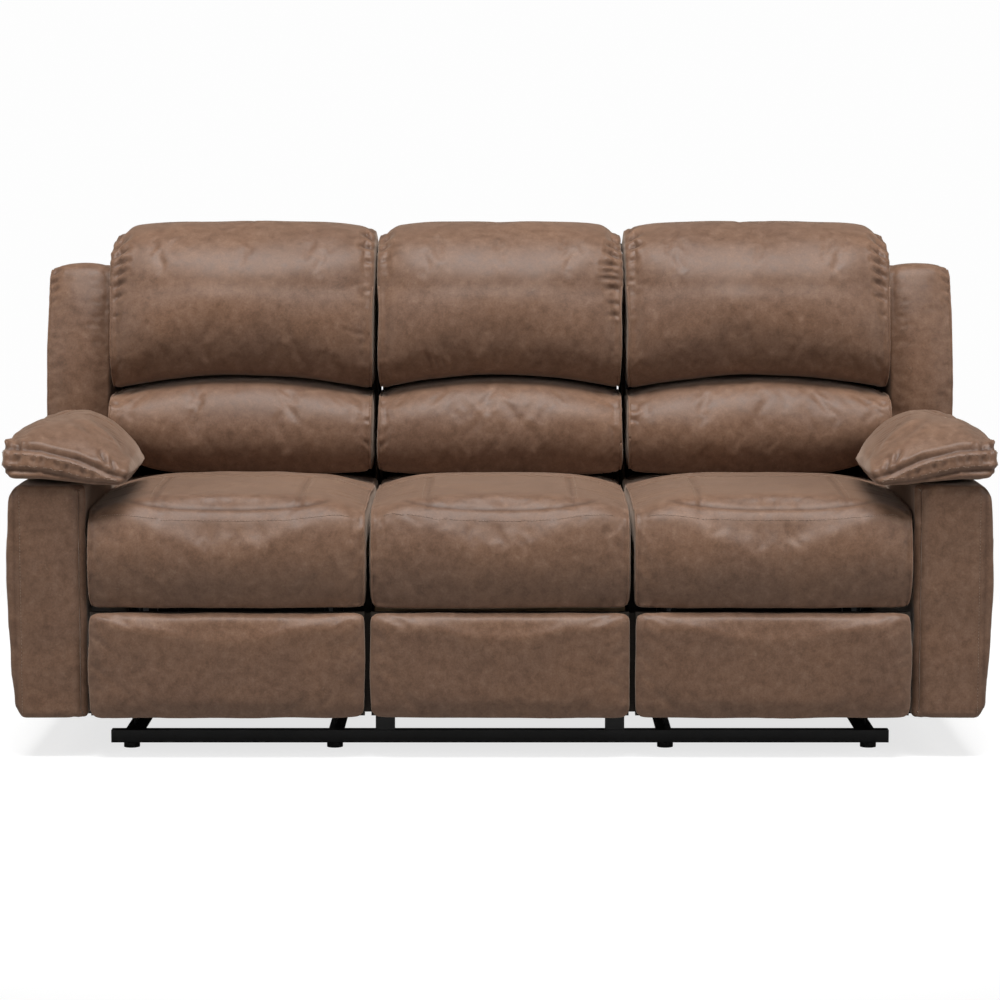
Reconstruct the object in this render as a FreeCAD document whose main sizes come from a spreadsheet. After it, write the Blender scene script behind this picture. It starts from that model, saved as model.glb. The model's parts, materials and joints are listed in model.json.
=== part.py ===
import FreeCAD, Part
import math
import os
import Sketcher

# Three-seat reclining sofa with padded arms, wings and a steel base.
# Millimetres. +X is to the right seen from the front, -Y is the front, +Z is up.
# The origin is on the floor under the middle of the sofa.

DRIVING = {
    # steel base
    "tube": 25,
    "foot_radius": 16,
    "foot_height": 10,
    "front_rail_half": 776,
    "front_rail_y": -320,
    "rear_rail_y": 200,
    # reclining mechanism, two planes under each outer seat
    "seat_middle": 533,
    "gauge": 203,
    "steel": 4,
    "bar_half_width": 11,
    "pin_radius": 5,
    "head_radius": 9,
    "pin_play": 0.05,
    "rocker_length": 100,
    "rocker_lean": 18,
    "rocker_pivot_z": 140,
    "front_rocker_y": -230,
    "rear_rocker_y": 80,
    "plate_bottom": 222,
    "drive_y": -300,
    "drive_z": 312,
    "shaft_radius": 8,
    "link_length": 240,
    "drive_angle": 238,
    "carrier_angle": 18,
    "hinge_y": 290,
    "hinge_z": 322,
    # seats
    "frame_bottom": 350,
    "frame_top": 400,
    "frame_half": 260,
    "board": 22,
    "ply": 15,
    "seat_half": 272.5,
    "middle_half": 255,
    "seat_front": -475,
    "seat_bottom": 296,
    "seat_top": 518,
    "apron": 60,
    "spring_radius": 2.5,
    # front panels
    "panel_bottom": 80,
    "panel_top": 292,
    "panel_half": 271,
    # arms
    "arm_inner": 808,
    "arm_outer": 962,
    "arm_bottom": 80,
    "arm_top": 538,
    "arm_front": -455,
    "arm_rear": 330,
    "pad_outer": 966,
    "pad_inner": 716,
    "pad_top": 654,
    "handle_y": -150,
    "handle_z": 400,
    # backs
    "back_lean": 8,
    "back_inner": 268,
    "back_outer": 824,
    "back_middle_half": 258,
    "back_top": 1031,
    "wing_inner": 829,
    "wing_top": 952,
}

doc = FreeCAD.newDocument("reclining_sofa")
sheet = doc.addObject("Spreadsheet::Sheet", "Sizes")
for row, (alias, value) in enumerate(DRIVING.items(), 1):
    sheet.set(f"A{row}", alias)
    sheet.set(f"B{row}", str(value))
    sheet.setAlias(f"B{row}", alias)
doc.recompute()

NODES = []
SIDES = {"left": -1, "right": 1}

# Expressions in the sheet's cells that several pieces share
OUTER_PLANE = "(Sizes.seat_middle + Sizes.gauge)"
INNER_PLANE = "(Sizes.seat_middle - Sizes.gauge)"
RAIL_TOP = "(Sizes.foot_height + Sizes.tube)"
ROCKER_REACH = "Sizes.rocker_length * sin(Sizes.rocker_lean * 1 deg)"
ROCKER_RISE = "Sizes.rocker_length * cos(Sizes.rocker_lean * 1 deg)"
SEAT_PIVOT_Z = f"(Sizes.rocker_pivot_z + {ROCKER_RISE})"
CARRIER = (
    "(Sizes.drive_y - Sizes.link_length * cos(Sizes.drive_angle * 1 deg))",
    "(Sizes.drive_z + Sizes.link_length * sin(Sizes.drive_angle * 1 deg))",
)
PANEL_PIVOT = (
    f"({CARRIER[0]} - Sizes.link_length * cos(Sizes.carrier_angle * 1 deg))",
    f"({CARRIER[1]} + Sizes.link_length * sin(Sizes.carrier_angle * 1 deg))",
)
# Distances inwards from a mechanism plane: first and last face of each layer
PLATE_LAYER = ("-Sizes.steel / 2", "Sizes.steel / 2")
ROCKER_LAYER = (3, 8)
SEAT_LAYER = (11.5, 16.5)
DRIVE_LAYER = (17, 22)
CARRIER_LAYER = (26, 31)
EAR_LAYER = (34.5, 39.5)
HEAD = 3
# Where brackets between the base and the arms run, from front to back
ARM_BRACKETS = ((-205, -175), (140, 170))


def size(alias):
    """Number in one cell of the sheet."""
    return float(getattr(sheet, alias))


def number(expression):
    """What an expression in the sheet's cells comes to."""
    return float(sheet.evalExpression(str(expression)))


def keep(piece, name):
    """Name a finished sub-part and put it on the list that is written out."""
    piece.Label = name
    NODES.append(piece)
    return piece


def across(side, low, high):
    """X limits on one side of the middle, from two distances from it."""
    if side > 0:
        return f"{low}", f"{high}"
    return f"-({high})", f"-({low})"


def box(x, y, z, name="Box"):
    """Box between two limits on each axis."""
    piece = doc.addObject("Part::Box", name)
    for edge, place, (low, high) in (("Length", "x", x), ("Width", "y", y), ("Height", "z", z)):
        piece.setExpression(edge, f"({high}) - ({low})")
        piece.setExpression(f"Placement.Base.{place}", f"{low}")
    return piece


def rod(along, radius, centre, span, name="Rod"):
    """Round bar along X or Z: centre gives the two other places, span the ends."""
    piece = doc.addObject("Part::Cylinder", name)
    piece.setExpression("Radius", f"{radius}")
    piece.setExpression("Height", f"({span[1]}) - ({span[0]})")
    if along == "x":
        piece.Placement.Rotation = FreeCAD.Rotation(FreeCAD.Vector(0, 1, 0), 90)
        places = (span[0], centre[0], centre[1])
    else:
        places = (centre[0], centre[1], span[0])
    for place, expression in zip("xyz", places):
        piece.setExpression(f"Placement.Base.{place}", f"{expression}")
    return piece


def fuse(pieces, name="Fuse"):
    """One solid from several that touch."""
    joined = doc.addObject("Part::MultiFuse", name)
    joined.Shapes = pieces
    joined.Refine = True
    return joined


def cut(base, tool, name="Cut"):
    """A solid less another."""
    rest = doc.addObject("Part::Cut", name)
    rest.Base = base
    rest.Tool = tool
    return rest


def group(pieces, name="Group"):
    """Separate solids in one node."""
    together = doc.addObject("Part::Compound", name)
    together.Links = pieces
    return together


def side_sketch(body):
    """Sketch on the body's own side plane, where its axes are Y and Z."""
    plane = [f for f in body.Origin.OriginFeatures if f.Role == "YZ_Plane"][0]
    sketch = body.newObject("Sketcher::SketchObject", "Outline")
    sketch.AttachmentSupport = (plane, [""])
    sketch.MapMode = "FlatFace"
    return sketch


def fix_point(sketch, geometry, vertex, place):
    """Hold a sketch point at the place that two expressions give."""
    for kind, expression in zip(("DistanceX", "DistanceY"), place):
        rule = Sketcher.Constraint(kind, -1, 1, geometry, vertex, number(expression))
        index = sketch.addConstraint(rule)
        sketch.setExpression(f"Constraints[{index}]", f"{expression}")


def add_hole(sketch, place, radius):
    """Round hole in a sketch."""
    centre = FreeCAD.Vector(number(place[0]), number(place[1]), 0)
    circle = sketch.addGeometry(Part.Circle(centre, FreeCAD.Vector(0, 0, 1), number(radius)))
    fix_point(sketch, circle, 3, place)
    index = sketch.addConstraint(Sketcher.Constraint("Radius", circle, number(radius)))
    sketch.setExpression(f"Constraints[{index}]", f"{radius}")


def pad_across(body, sketch, x):
    """Pad a side sketch between two X limits."""
    pad = body.newObject("PartDesign::Pad", "Thickness")
    pad.Profile = sketch
    pad.setExpression("Length", f"({x[1]}) - ({x[0]})")
    body.setExpression("Placement.Base.x", f"{x[0]}")
    return body


def plate(corners, x, holes=(), name="Plate"):
    """Flat plate across X with straight edges and round holes."""
    body = doc.addObject("PartDesign::Body", name)
    sketch = side_sketch(body)
    points = [FreeCAD.Vector(number(y), number(z), 0) for y, z in corners]
    count = len(points)
    for i in range(count):
        sketch.addGeometry(Part.LineSegment(points[i], points[(i + 1) % count]))
    for i in range(count):
        sketch.addConstraint(Sketcher.Constraint("Coincident", i, 2, (i + 1) % count, 1))
    for i in range(count):
        fix_point(sketch, i, 1, corners[i])
    for place, radius in holes:
        add_hole(sketch, place, radius)
    return pad_across(body, sketch, x)


def link(ends, x, radii, name="Link"):
    """Round-ended bar across X, with a hole at each end that has a radius."""
    body = doc.addObject("PartDesign::Body", name)
    sketch = side_sketch(body)
    first, last = [FreeCAD.Vector(number(y), number(z), 0) for y, z in ends]
    half = size("bar_half_width")
    run = (last - first).normalize()
    edge = FreeCAD.Vector(-run.y, run.x, 0) * half
    upright = FreeCAD.Vector(0, 0, 1)
    start = math.atan2(edge.y, edge.x)
    sketch.addGeometry(Part.LineSegment(first + edge, last + edge))
    sketch.addGeometry(Part.ArcOfCircle(Part.Circle(last, upright, half), start - math.pi, start))
    sketch.addGeometry(Part.LineSegment(last - edge, first - edge))
    sketch.addGeometry(Part.ArcOfCircle(Part.Circle(first, upright, half), start, start + math.pi))
    for one, end, other, begin in ((0, 2, 1, 2), (1, 1, 2, 1), (2, 2, 3, 2), (3, 1, 0, 1)):
        sketch.addConstraint(Sketcher.Constraint("Tangent", one, end, other, begin))
    fix_point(sketch, 1, 3, ends[1])
    fix_point(sketch, 3, 3, ends[0])
    index = sketch.addConstraint(Sketcher.Constraint("Radius", 1, half))
    sketch.setExpression(f"Constraints[{index}]", "Sizes.bar_half_width")
    for place, radius in zip(ends, radii):
        if radius:
            add_hole(sketch, place, radius)
    return pad_across(body, sketch, x)


def layer_limits(side, first, last):
    """X limits of one layer on the outer plane and on the inner plane."""
    outer = across(side, f"{OUTER_PLANE} - ({last})", f"{OUTER_PLANE} - ({first})")
    inner = across(side, f"{INNER_PLANE} + ({first})", f"{INNER_PLANE} + ({last})")
    return outer, inner


def pins(side, centre, first, last, radius="Sizes.pin_radius"):
    """A pin on each plane, between two distances inwards from it."""
    return [rod("x", radius, centre, x) for x in layer_limits(side, first, last)]


def headed_pins(side, centre, first, last, radius="Sizes.pin_radius", wide="Sizes.head_radius"):
    """Pins with a head beyond their last face."""
    beyond = last + HEAD if last > first else last - HEAD
    shanks = pins(side, centre, min(first, last), max(first, last), radius)
    heads = pins(side, centre, min(last, beyond), max(last, beyond), wide)
    return shanks, heads


def paired(rows, name):
    """One node with a welded solid on each mechanism plane."""
    solids = [fuse(list(parts)) for parts in zip(*rows)]
    return keep(group(solids), name)


# Steel base

def cross_rail(name, y):
    half = "Sizes.tube / 2"
    ends = ("-Sizes.front_rail_half", "Sizes.front_rail_half")
    keep(box(ends, (f"{y} - {half}", f"{y} + {half}"), ("Sizes.foot_height", RAIL_TOP)), name)


def base_side_rails():
    """Fore-and-aft tubes under each mechanism plane, the outer ones with arm brackets."""
    half = "Sizes.tube / 2"
    y = (f"Sizes.front_rail_y + {half}", f"Sizes.rear_rail_y - {half}")
    z = ("Sizes.foot_height", RAIL_TOP)
    tubes = []
    for side in SIDES.values():
        inner = across(side, f"{INNER_PLANE} - {half}", f"{INNER_PLANE} + {half}")
        outer = across(side, f"{OUTER_PLANE} - {half}", f"{OUTER_PLANE} + {half}")
        tubes.append(box(inner, y, z))
        welded = [box(outer, y, z)]
        for near, far in ARM_BRACKETS:
            plate_face = f"{OUTER_PLANE} + Sizes.steel / 2"
            stub = across(side, plate_face, f"{OUTER_PLANE} + {half}")
            shelf = across(side, plate_face, "Sizes.arm_inner + 52")
            post = across(side, "Sizes.arm_inner + 32", "Sizes.arm_inner + 52")
            welded.append(box(stub, (near, far), (RAIL_TOP, 46)))
            welded.append(box(shelf, (near, far), (46, 58)))
            welded.append(box(post, (near, far), (58, "Sizes.arm_bottom + Sizes.foot_height")))
        tubes.append(fuse(welded))
    keep(group(tubes), "base_side_rails")


def base_feet():
    feet = []
    for side in SIDES.values():
        for plane in (INNER_PLANE, OUTER_PLANE):
            for y in ("Sizes.front_rail_y", "Sizes.rear_rail_y"):
                x = f"{side} * {plane}"
                feet.append(rod("z", "Sizes.foot_radius", (x, y), (0, "Sizes.foot_height")))
    keep(group(feet), "base_feet")


def centre_seat_posts():
    """Fixed brackets that carry the middle seat on the cross rails."""
    posts = []
    for side in SIDES.values():
        for y in ("Sizes.front_rail_y", "Sizes.rear_rail_y"):
            x = across(side, 210, 248)
            posts.append(box(x, (f"{y} - 10", f"{y} + 10"), (RAIL_TOP, "Sizes.frame_bottom")))
    keep(group(posts), "centre_seat_posts")


# Mechanism of one outer seat

def rocker_ends(y):
    low = (y, "Sizes.rocker_pivot_z")
    return low, (f"{y} + {ROCKER_REACH}", SEAT_PIVOT_Z)


def base_plates(side, name):
    """Plates on the side rails, each with two pins for the rockers and a cable stop."""
    corners = [
        ("Sizes.front_rocker_y - 40", RAIL_TOP),
        ("Sizes.rear_rocker_y + 50", RAIL_TOP),
        ("Sizes.rear_rocker_y + 18", "Sizes.rocker_pivot_z + 16"),
        ("Sizes.rear_rocker_y - 18", "Sizes.rocker_pivot_z + 16"),
        ("Sizes.rear_rocker_y - 60", "Sizes.rocker_pivot_z - 30"),
        ("Sizes.front_rocker_y + 60", "Sizes.rocker_pivot_z - 30"),
        ("Sizes.front_rocker_y + 18", "Sizes.rocker_pivot_z + 16"),
        ("Sizes.front_rocker_y - 18", "Sizes.rocker_pivot_z + 16"),
    ]
    rows = [[plate(corners, x) for x in layer_limits(side, *PLATE_LAYER)]]
    for y in ("Sizes.front_rocker_y", "Sizes.rear_rocker_y"):
        rows += headed_pins(side, (y, "Sizes.rocker_pivot_z"), 0, ROCKER_LAYER[1] + 0.3)
    stop = box(
        across(side, f"{OUTER_PLANE} + Sizes.steel / 2", f"{OUTER_PLANE} + 16"),
        (-140, -120),
        (106, 112),
    )
    solids = [list(parts) for parts in zip(*rows)]
    solids[0].append(stop)
    keep(group([fuse(solid) for solid in solids]), name)


def rockers(side, y, name):
    hole = "Sizes.pin_radius + Sizes.pin_play"
    bars = [link(rocker_ends(y), x, (hole, hole)) for x in layer_limits(side, *ROCKER_LAYER)]
    keep(group(bars), name)


def seat_plates(side, name):
    """Long plates that carry the seat, with pins for the rockers and for the back."""
    rear = "Sizes.hinge_y"
    corners = [
        ("Sizes.drive_y - 90", "Sizes.frame_bottom - 22"),
        ("Sizes.drive_y + 10", "Sizes.plate_bottom + 36"),
        (f"Sizes.front_rocker_y + {ROCKER_REACH} - 16", "Sizes.plate_bottom"),
        (f"Sizes.front_rocker_y + {ROCKER_REACH} + 20", "Sizes.plate_bottom"),
        ("-60", "Sizes.frame_bottom - 46"),
        (f"Sizes.rear_rocker_y + {ROCKER_REACH} - 60", "Sizes.frame_bottom - 46"),
        (f"Sizes.rear_rocker_y + {ROCKER_REACH} - 16", "Sizes.plate_bottom"),
        (f"Sizes.rear_rocker_y + {ROCKER_REACH} + 16", "Sizes.plate_bottom"),
        (f"{rear} + 14", "Sizes.hinge_z - 16"),
        (f"{rear} + 14", "Sizes.hinge_z + 12"),
        (f"{rear} - 60", "Sizes.frame_bottom"),
        ("Sizes.drive_y - 90", "Sizes.frame_bottom"),
    ]
    bearing = (("Sizes.drive_y", "Sizes.drive_z"), "Sizes.shaft_radius + Sizes.pin_play")
    rows = [[plate(corners, x, [bearing]) for x in layer_limits(side, *SEAT_LAYER)]]
    for y in ("Sizes.front_rocker_y", "Sizes.rear_rocker_y"):
        place = (f"{y} + {ROCKER_REACH}", SEAT_PIVOT_Z)
        rows += headed_pins(side, place, SEAT_LAYER[0], ROCKER_LAYER[0] - 0.3)
    rows += headed_pins(side, (rear, "Sizes.hinge_z"), SEAT_LAYER[1], DRIVE_LAYER[1] + 0.3)
    paired(rows, name)


def drive_links(side, name):
    """Drive bars welded to one shaft through both seat plates, with pins for the carriers."""
    drive = ("Sizes.drive_y", "Sizes.drive_z")
    bars = [link((drive, CARRIER), x, (None, None)) for x in layer_limits(side, *DRIVE_LAYER)]
    shanks, heads = headed_pins(side, CARRIER, DRIVE_LAYER[1], CARRIER_LAYER[1] + 0.3)
    reach = ROCKER_LAYER[1] + 0.5
    ends = across(side, f"{INNER_PLANE} + {reach}", f"{OUTER_PLANE} - {reach}")
    shaft = rod("x", "Sizes.shaft_radius", drive, ends)
    keep(fuse([shaft] + bars + shanks + heads), name)


def carrier_links(side, name):
    """Carrier bars with pins for the footrest."""
    hole = "Sizes.pin_radius + Sizes.pin_play"
    ends = (CARRIER, PANEL_PIVOT)
    bars = [link(ends, x, (hole, None)) for x in layer_limits(side, *CARRIER_LAYER)]
    paired([bars, *headed_pins(side, PANEL_PIVOT, CARRIER_LAYER[1], EAR_LAYER[1] + 0.3)], name)


def back_brackets(side, name):
    """Steel ears that join the back's timber frame to the seat plates."""
    hinge = ("Sizes.hinge_y", "Sizes.hinge_z")
    slope = "tan(Sizes.back_lean * 1 deg)"
    corners = [
        ("Sizes.hinge_y - 16", "Sizes.hinge_z - 14"),
        ("Sizes.hinge_y + 16", "Sizes.hinge_z - 14"),
        (f"Sizes.hinge_y + 24 + 200 * {slope}", "Sizes.hinge_z + 200"),
        (f"Sizes.hinge_y - 16 + 200 * {slope}", "Sizes.hinge_z + 200"),
    ]
    hole = "Sizes.pin_radius + Sizes.pin_play"
    ears = [plate(corners, x, [(hinge, hole)]) for x in layer_limits(side, *DRIVE_LAYER)]
    keep(group(ears), name)


# Seats

def seat_frame(side, name, half="Sizes.frame_half", board_foot="Sizes.seat_bottom + 4"):
    """Timber frame with a deeper front board."""
    def limits(low, high):
        middle = f"{side} * Sizes.seat_middle"
        return f"{middle} + ({low})", f"{middle} + ({high})"

    front = "(Sizes.seat_front + Sizes.apron + 2)"
    rear = "Sizes.rear_rail_y"
    z = ("Sizes.frame_bottom", "Sizes.frame_top")
    rails = [
        box(limits(f"-{half}", half), (front, f"{front} + 18"), (board_foot, "Sizes.frame_top")),
        box(limits(f"-{half}", half), (f"{rear} - Sizes.board", rear), z),
        box(limits(f"-{half}", f"-{half} + Sizes.board"), (f"{front} + 18", f"{rear} - Sizes.board"), z),
        box(limits(f"{half} - Sizes.board", half), (f"{front} + 18", f"{rear} - Sizes.board"), z),
    ]
    keep(fuse(rails), name)


def spring_path(x, front, rear, z):
    """Zigzag wire: straight cross runs joined by half-round bends in two quarter arcs."""
    swing = 22
    pitch = 30
    bend = pitch / 2
    run = swing - bend
    turns = int((rear - front) // pitch)
    edges = []
    y = front
    sign = 1
    for _ in range(turns):
        left = FreeCAD.Vector(x - sign * run, y, z)
        right = FreeCAD.Vector(x + sign * run, y, z)
        far = FreeCAD.Vector(x + sign * run, y + pitch, z)
        tip = FreeCAD.Vector(x + sign * (run + bend), y + bend, z)
        edges.append(Part.makeLine(left, right))
        for start, end, angle in ((right, tip, -45), (tip, far, 45)):
            middle = FreeCAD.Vector(
                x + sign * (run + bend * math.cos(math.radians(45))),
                y + bend + bend * math.sin(math.radians(angle)),
                z,
            )
            edges.append(Part.Arc(start, middle, end).toShape())
        y += pitch
        sign = -sign
    edges.append(Part.makeLine(FreeCAD.Vector(x - sign * run, y, z), FreeCAD.Vector(x + sign * run, y, z)))
    return edges


def seat_springs(middle, name):
    """Four zigzag wires from the front rail to the rear rail."""
    radius = size("spring_radius")
    z = size("frame_top") + radius
    front = size("seat_front") + size("apron") + 12
    rear = size("rear_rail_y") - 10
    wires = []
    for place in (-165, -55, 55, 165):
        path = Part.Wire(spring_path(middle + place, front, rear, z))
        start = path.Edges[0]
        point = start.valueAt(start.FirstParameter)
        direction = start.tangentAt(start.FirstParameter)
        ring = Part.Wire([Part.makeCircle(radius, point, direction)])
        wires.append(path.makePipeShell([ring], True, False))
    piece = doc.addObject("Part::Feature", "Springs")
    piece.Shape = Part.makeCompound(wires)
    piece.Placement = FreeCAD.Placement()
    keep(piece, name)


# Soft forms: sections of lines and short arcs, lofted

def profile(spans):
    """Closed wire from spans of two points for a line or three for an arc."""
    edges = []
    for span in spans:
        points = [FreeCAD.Vector(*p) for p in span]
        if len(points) == 2:
            edges.append(Part.makeLine(*points))
        else:
            edges.append(Part.Arc(*points).toShape())
    return Part.Wire(edges)


def soft(wires, name):
    """Cushion lofted through its sections."""
    piece = doc.addObject("Part::Feature", "Soft")
    piece.Shape = Part.makeLoft(wires, True, False)
    piece.Placement = FreeCAD.Placement()
    return keep(piece, name)


def stations(middle, half):
    """Places across a cushion: X, share of the half width, and how far it is drawn in there."""
    shares = (-1, -0.9, -0.72, -0.45, 0, 0.45, 0.72, 0.9, 1)
    return [(middle + share * half, share, share**6) for share in shares]


def seat_section(x, edge):
    """Side outline of a seat cushion: thick top over the frame and a thinner apron in front."""
    front = size("seat_front") + 12 * edge
    top = size("seat_top") - 24 * edge
    bottom = size("seat_bottom")
    under = size("frame_top") + 2 * size("spring_radius") + 1
    behind = size("seat_front") + size("apron")
    crest = front + 78
    rear = size("rear_rail_y")
    tuck = 500 - 6 * edge
    low = (x, front + 20, bottom)
    brow = (x, front + 9, top - 60)
    lip = (x, crest, top - 6)
    seam = (x, 35, top - 4)
    return profile([
        (low, (x, front, 0.42 * bottom + 0.58 * (top - 60)), brow),
        (brow, (x, front + 26, top - 24), lip),
        (lip, (x, -200, top), seam),
        (seam, (x, 64, tuck)),
        ((x, 64, tuck), (x, rear, tuck)),
        ((x, rear, tuck), (x, rear, under)),
        ((x, rear, under), (x, behind, under)),
        ((x, behind, under), (x, behind, bottom)),
        ((x, behind, bottom), low),
    ])


def seat_cushion(middle, half, name):
    soft([seat_section(x, edge) for x, _, edge in stations(middle, half)], name)


def panel_section(middle, y, half, low, high, corner, bow):
    """Rounded rectangle seen from the front, each edge an arc."""
    x0, x1 = middle - half, middle + half
    z0, z1 = low, high
    mid = (z0 + z1) / 2
    k = corner * (1 - math.cos(math.radians(45)))
    return profile([
        ((x0 + corner, y, z0), (middle, y, z0 - bow), (x1 - corner, y, z0)),
        ((x1 - corner, y, z0), (x1 - k, y, z0 + k), (x1, y, z0 + corner)),
        ((x1, y, z0 + corner), (x1 + bow, y, mid), (x1, y, z1 - corner)),
        ((x1, y, z1 - corner), (x1 - k, y, z1 - k), (x1 - corner, y, z1)),
        ((x1 - corner, y, z1), (middle, y, z1 + bow), (x0 + corner, y, z1)),
        ((x0 + corner, y, z1), (x0 + k, y, z1 - k), (x0, y, z1 - corner)),
        ((x0, y, z1 - corner), (x0 - bow, y, mid), (x0, y, z0 + corner)),
        ((x0, y, z0 + corner), (x0 + k, y, z0 + k), (x0 + corner, y, z0)),
    ])


def panel_pad(middle, half, name):
    """Padded front of a panel, fullest a little in from its edges."""
    front = size("seat_front")
    bottom, top = size("panel_bottom") + 1, size("panel_top") - 1
    steps = ((35, 1, 16), (15, 0, 16), (6, 8, 20), (2, 34, 30))
    wires = []
    for depth, inset, corner in steps:
        low, high = bottom + inset, top - inset
        wires.append(panel_section(middle, front + depth, half - 1 - inset, low, high, corner, 0.8))
    soft(wires, name)


def panel_board(side, middle, half, name, ears):
    """Plywood board behind a panel's padding, with what joins it to its carrier."""
    back = "(Sizes.seat_front + 35 + Sizes.ply)"
    x = (f"{middle} - {half} + 3", f"{middle} + {half} - 3")
    z = ("Sizes.panel_bottom + 4", "Sizes.panel_top - 4")
    board = box(x, ("Sizes.seat_front + 35", back), z)
    keep(fuse([board] + ears), name)


def footrest_ears(side):
    """Steel ears on the footrest, bored for the carrier pins."""
    back = "(Sizes.seat_front + 35 + Sizes.ply)"
    y, z = PANEL_PIVOT
    corners = [
        (back, f"{z} - 45"),
        (f"{y} + 11", f"{z} - 11"),
        (f"{y} + 11", f"{z} + 11"),
        (back, f"{z} + 45"),
    ]
    hole = ((y, z), "Sizes.pin_radius + Sizes.pin_play")
    return [plate(corners, x, [hole]) for x in layer_limits(side, *EAR_LAYER)]


def centre_battens():
    """Battens that hold the fixed middle panel off its seat frame's front board, and side flaps."""
    back = "(Sizes.seat_front + 35 + Sizes.ply)"
    y = (back, "Sizes.seat_front + Sizes.apron + 2")
    pieces = [box((low, low + 30), y, (130, 260)) for low in (-180, 150)]
    for side in SIDES.values():
        stand_off = across(side, 225, "Sizes.middle_half - 3")
        flap = across(side, 225, "Sizes.middle_half + 13")
        z = ("Sizes.panel_bottom + 8", "Sizes.panel_top - 8")
        pieces.append(box(stand_off, (back, f"{back} + 5"), z))
        pieces.append(box(flap, (f"{back} + 5", f"{back} + 8"), z))
    return pieces


# Backs

def lean_point(x, behind, up):
    """Point of the leaning back: distances behind and above its hinge line."""
    lean = math.radians(size("back_lean"))
    y = size("hinge_y") + behind * math.cos(lean) + up * math.sin(lean)
    z = size("hinge_z") - behind * math.sin(lean) + up * math.cos(lean)
    return FreeCAD.Vector(x, y, z)


def lean_all(pieces, name, recesses=()):
    """Fuse boards drawn upright about the hinge line, then lean them back about it."""
    upright = fuse(pieces)
    if recesses:
        upright = cut(upright, fuse(recesses))
    upright.Placement.Rotation = FreeCAD.Rotation(FreeCAD.Vector(-1, 0, 0), size("back_lean"))
    upright.setExpression("Placement.Rotation.Angle", "Sizes.back_lean")
    upright.setExpression("Placement.Base.y", "Sizes.hinge_y")
    upright.setExpression("Placement.Base.z", "Sizes.hinge_z")
    return keep(upright, name)


FRAME_FRONT, FRAME_REAR = -60, 85
FRAME_FOOT, FRAME_HEAD = -140, 590
COVER = 8
COVER_FOOT, COVER_HEAD = -158, 655


def back_frame(side, low, high, uprights, name, wing=False):
    """Timber frame of one back: uprights and three cross rails."""
    thick = 18
    boards = []
    for place in uprights:
        x = across(side, f"{place} - {thick / 2}", f"{place} + {thick / 2}")
        boards.append(box(x, (FRAME_FRONT, FRAME_REAR), (FRAME_FOOT, FRAME_HEAD)))
    for foot, front in ((FRAME_FOOT, 60), (150, 60), (FRAME_HEAD - 45, FRAME_FRONT)):
        boards.append(box(across(side, low, high), (front, FRAME_REAR), (foot, foot + 45)))
    if wing:
        board = across(side, high, "Sizes.pad_outer - 5")
        boards.append(box(board, (60, FRAME_REAR), (240, 612)))
    recesses = []
    if wing:
        pin_heads = layer_limits(side, DRIVE_LAYER[1] - 1, DRIVE_LAYER[1] + 5)
        recesses = [rod("x", "Sizes.head_radius + 3", (0, 0), x) for x in pin_heads]
    lean_all(boards, name, recesses)


def back_cover(side, low, high, name, wing=False):
    """Outside back: a covered panel with returns round the frame's sides."""
    rear = f"{FRAME_REAR} + 2"
    skin = f"{FRAME_REAR} + 2 + {COVER}"
    foot, head = COVER_FOOT, COVER_HEAD
    pieces = [box(across(side, low, high), (rear, skin), (foot, head))]
    if wing:
        pieces.append(box(across(side, high, "Sizes.pad_outer - 2"), (rear, skin), (232, 632)))
    for near, far in ((low, f"{low} + {COVER}"), (f"{high} - {COVER}", high)):
        pieces.append(box(across(side, near, far), (FRAME_FRONT + 10, rear), (foot, 215)))
    lean_all(pieces, name)


def back_face(z):
    """Where the front of the leaning frame is at a height."""
    lean = math.radians(size("back_lean"))
    up = (z - size("hinge_z") + (FRAME_FRONT - 2) * math.sin(lean)) / math.cos(lean)
    return lean_point(0, FRAME_FRONT - 2, up).y


def seam_height(share):
    """Arched seam between the upper and the lumbar cushion."""
    return 711 - 31 * share**2


def lumbar_section(x, share, edge, foot):
    front = 28 + 16 * edge
    seam = seam_height(share) - 3
    rise = 60 - 30 * edge
    low = (x, 66 + 10 * edge, foot)
    brow = (x, 100 + 10 * edge, seam - 6)
    back_low = (x, back_face(foot), foot)
    back_high = (x, back_face(seam), seam)
    return profile([
        (low, (x, front, foot + rise + 26), brow),
        (brow, (x, 170, seam - 2.5), back_high),
        (back_high, back_low),
        (back_low, low),
    ])


def lumbar_cushion(middle, half, name, arm_side=0):
    """Lower back cushion; beside an arm its lower corner is rounded up over the arm's top."""
    wires = []
    for x, share, edge in stations(middle, half):
        beside_arm = arm_side * share > 0
        foot = 505 + (60 * share**4 if beside_arm else 8 * edge)
        wires.append(lumbar_section(x, share, edge, foot))
    soft(wires, name)


def upper_section(x, share, edge):
    front = 70 + 26 * edge
    seam = seam_height(share)
    top = size("back_top") - 14 * edge
    ledge = lean_point(0, 0, FRAME_HEAD + 4).z
    low = (x, 124 + 8 * edge, seam + 2)
    belly = (x, front - 2, seam + 72)
    chest = (x, front + 34, 900)
    crown = (x, 214, top - 12 - 10 * edge)
    nape = (x, 442 - 6 * edge, 978 - 8 * edge)
    return profile([
        (low, (x, front + 14, seam + 26), belly),
        (belly, (x, front + 3, (seam + 72 + 900) / 2), chest),
        (chest, (x, front + 74, 982 - 10 * edge), crown),
        (crown, (x, 318, top), nape),
        (nape, (x, 455 - 4 * edge, 958)),
        ((x, 455 - 4 * edge, 958), (x, back_face(ledge), ledge + 38)),
        ((x, back_face(ledge), ledge + 38), (x, back_face(seam), seam)),
        ((x, back_face(seam), seam), low),
    ])


def upper_cushion(middle, half, name):
    soft([upper_section(*station) for station in stations(middle, half)], name)


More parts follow.
